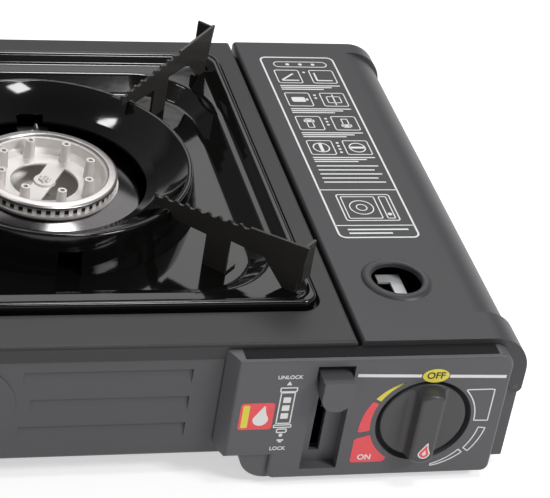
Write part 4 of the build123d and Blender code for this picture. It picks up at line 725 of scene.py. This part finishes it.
# Four steps: two framed pictures with the step's number in dots between them, over three bars
for step, y in enumerate((114.0, 90.0, 66.0, 42.0)):
    for left in (margin, second_column):
        plate(label, left, y - picture_side / 2, left + picture_side, y + picture_side / 2, 1.5, fine_line)
    for n in range(step + 1):
        disc(label, 115.2, y + 4.5 - 3.0 * n, 0.8, segments=16)
    for n in range(3):
        row = y - 9.6 - 1.9 * n
        bar(label, (margin, row), (132.0 - 5.0 * n, row), 0.9)
# Five bars of two lengths below the steps
for n in range(5):
    row = 24.4 - 3.8 * n
    bar(label, (margin, row), (131.5 - 3.0 * (n % 2), row), 1.0)
# First step: the lid, lifted and upright
bar(label, (101.0, 110.0), (110.5, 110.0), 1.0)
bar(label, (101.2, 110.4), (108.6, 117.0), 1.0)
bar(label, (120.5, 110.0), (129.5, 110.0), 1.0)
bar(label, (120.8, 110.4), (120.8, 118.0), 1.0)
# Second step: the cartridge, and its place in the bay
plate(label, 101.5, 87.6, 109.0, 92.4, 1.0)
plate(label, 109.4, 89.0, 110.6, 91.0, 0.3)
plate(label, 121.0, 86.6, 129.0, 93.4, 1.0, fine_line)
bar(label, (125.0, 84.6), (125.0, 95.4), 0.8)
# Third step: the lever, up and down
plate(label, 103.6, 61.5, 107.4, 70.5, 0.6, fine_line)
plate(label, 102.6, 67.0, 108.4, 69.4, 0.5)
plate(label, 123.2, 61.5, 127.0, 70.5, 0.6, fine_line)
plate(label, 122.2, 62.4, 128.0, 64.8, 0.5)
# Fourth step: the knob, its grip upright and level
disc(label, 105.5, 42.0, 4.6, 0.7)
plate(label, 104.6, 37.8, 106.4, 46.2, 0.6)
disc(label, 125.0, 42.0, 4.6, 0.7)
plate(label, 120.8, 41.1, 129.2, 42.9, 0.6)
# Plan of the stove: body, pan, burner, bay and knob, over two bars
plate(label, 101.0, -26.0, 129.5, -2.0, 1.6, 0.7)
plate(label, 103.0, -24.0, 121.0, -4.0, 1.0, fine_line)
disc(label, 112.0, -14.0, 6.4, fine_line)
disc(label, 112.0, -14.0, 3.0, fine_line)
plate(label, 123.0, -24.0, 127.5, -4.0, 1.0, fine_line)
disc(label, 125.2, -20.0, 1.2, segments=20)
for n in range(2):
    row = -33.6 - 3.2 * n
    bar(label, (99.5, row), (131.0 - 9.0 * n, row), 1.2)
label_shift = -4.4 * mm
lay_print("lid_label", label, white_ink, "lid", Matrix.Translation((0.0, label_shift, lid_face)))

# Floor: a wide plain floor under the stove, matt and pale grey.
# It shows white to the camera and in mirrors, and it keeps the stove's shadow.
floor = bmesh.new()
bmesh.ops.create_grid(floor, x_segments=1, y_segments=1, size=4.0)
floor_skin = bpy.data.meshes.new("floor")
floor.to_mesh(floor_skin)
floor.free()
floor_piece = bpy.data.objects.new("floor", floor_skin)
bpy.context.scene.collection.objects.link(floor_piece)


def seen_or_mirrored(tree):
    """A socket that is 1 for what the camera, a mirror or glass sees, and 0 for the light on the stove."""
    path = add_node(tree, "ShaderNodeLightPath")
    seen = add_node(tree, "ShaderNodeMath",
                    {0: path.outputs["Is Camera Ray"], 1: path.outputs["Is Glossy Ray"]},
                    operation="MAXIMUM")
    seen = add_node(tree, "ShaderNodeMath", {0: seen.outputs[0], 1: path.outputs["Is Transmission Ray"]},
                    operation="MAXIMUM")
    return seen.outputs[0]


floor_white = bpy.data.materials.new("pale_floor")
floor_white.use_nodes = True
tree = floor_white.node_tree
tree.nodes.remove(tree.nodes["Principled BSDF"])
matt = add_node(tree, "ShaderNodeBsdfDiffuse", {"Color": linear("#e6e6e6")})
lift = add_node(tree, "ShaderNodeEmission", {"Strength": 0.55})
both = add_node(tree, "ShaderNodeAddShader", {0: matt.outputs[0], 1: lift.outputs[0]})
mixed = add_node(tree, "ShaderNodeMixShader",
                 {0: seen_or_mirrored(tree), 1: matt.outputs[0], 2: both.outputs[0]})
tree.links.new(mixed.outputs[0], tree.nodes["Material Output"].inputs["Surface"])
floor_skin.materials.append(floor_white)

# Studio: a soft even sky, white near the horizon for what is seen or mirrored, and darker overhead,
# with a key softbox at the front right, a smaller one above that lights the folds and a broad one behind.
# Two small lamps above the back give the wind ring its sparkle and the polished dish its glint.
world = bpy.data.worlds.new("studio")
bpy.context.scene.world = world
world.use_nodes = True
tree = world.node_tree
place = add_node(tree, "ShaderNodeTexCoord")
axes = add_node(tree, "ShaderNodeSeparateXYZ", {0: place.outputs["Generated"]})
sky = add_node(tree, "ShaderNodeValToRGB", {0: axes.outputs[2]})
sky_levels = [(0.0, 1.0), (0.10, 1.0), (0.24, 0.16), (0.50, 0.12), (0.60, 0.30), (0.80, 0.25), (1.0, 0.10)]
for height, _ in sky_levels[1:-1]:
    sky.color_ramp.elements.new(height)
for stop, (height, level) in zip(sky.color_ramp.elements, sky_levels):
    stop.position = height
    stop.color = (level, level, level, 1.0)
even = add_node(tree, "ShaderNodeMapRange", {"Value": axes.outputs[2], "To Min": 0.50, "To Max": 0.12})
shown = add_node(tree, "ShaderNodeMix", {0: seen_or_mirrored(tree), 6: even.outputs[0], 7: sky.outputs[0]},
                 data_type="RGBA")
tree.links.new(shown.outputs[2], tree.nodes["Background"].inputs["Color"])


def softbox(name, place, width, depth, power):
    """A rectangular lamp at a place, turned to face the middle of the stove."""
    stove_middle = Vector((0.0, 0.0, 70 * mm))
    lamp = bpy.data.lights.new(name, "AREA")
    lamp.shape = "RECTANGLE"
    lamp.size = width
    lamp.size_y = depth
    lamp.energy = power
    stand = bpy.data.objects.new(name, lamp)
    stand.location = place
    stand.rotation_euler = (stove_middle - Vector(place)).to_track_quat("-Z", "Y").to_euler()
    bpy.context.scene.collection.objects.link(stand)


softbox("key", (1.8, -1.6, 2.1), width=0.8, depth=0.6, power=38.0)
softbox("fold", (0.62, -0.72, 2.60), width=0.4, depth=0.4, power=10.0)
softbox("back", (0.68, 1.97, 2.16), width=2.2, depth=1.6, power=16.0)
softbox("sparkle", (-0.67, 0.39, 1.74), width=0.10, depth=0.24, power=1.6)
softbox("glint", (0.45, 1.0, 2.2), width=0.3, depth=0.3, power=6.0)

# Camera: a long lens above the front left corner, rolled a little, as in the photograph.
# Its length, place and turns were fitted to the straight edges of deck, pan, lid and panel.
lens_in_pixels = 2375.81
picture_width = 550
camera_place = (-257.48 * mm, -957.09 * mm, 703.48 * mm)
yaw, pitch, roll = radians(19.28), radians(33.2), radians(10.34)
camera = bpy.data.cameras.new("camera")
camera.sensor_width = 36.0
camera.lens = lens_in_pixels * camera.sensor_width / picture_width
camera.clip_end = 20.0
tripod = bpy.data.objects.new("camera", camera)
turn = Matrix.Rotation(-yaw, 4, "Z") @ Matrix.Rotation(pi / 2 - pitch, 4, "X") @ Matrix.Rotation(roll, 4, "Z")
tripod.matrix_world = Matrix.Translation(camera_place) @ turn
bpy.context.scene.collection.objects.link(tripod)
bpy.context.scene.camera = tripod
bpy.context.scene.view_settings.view_transform = "Standard"
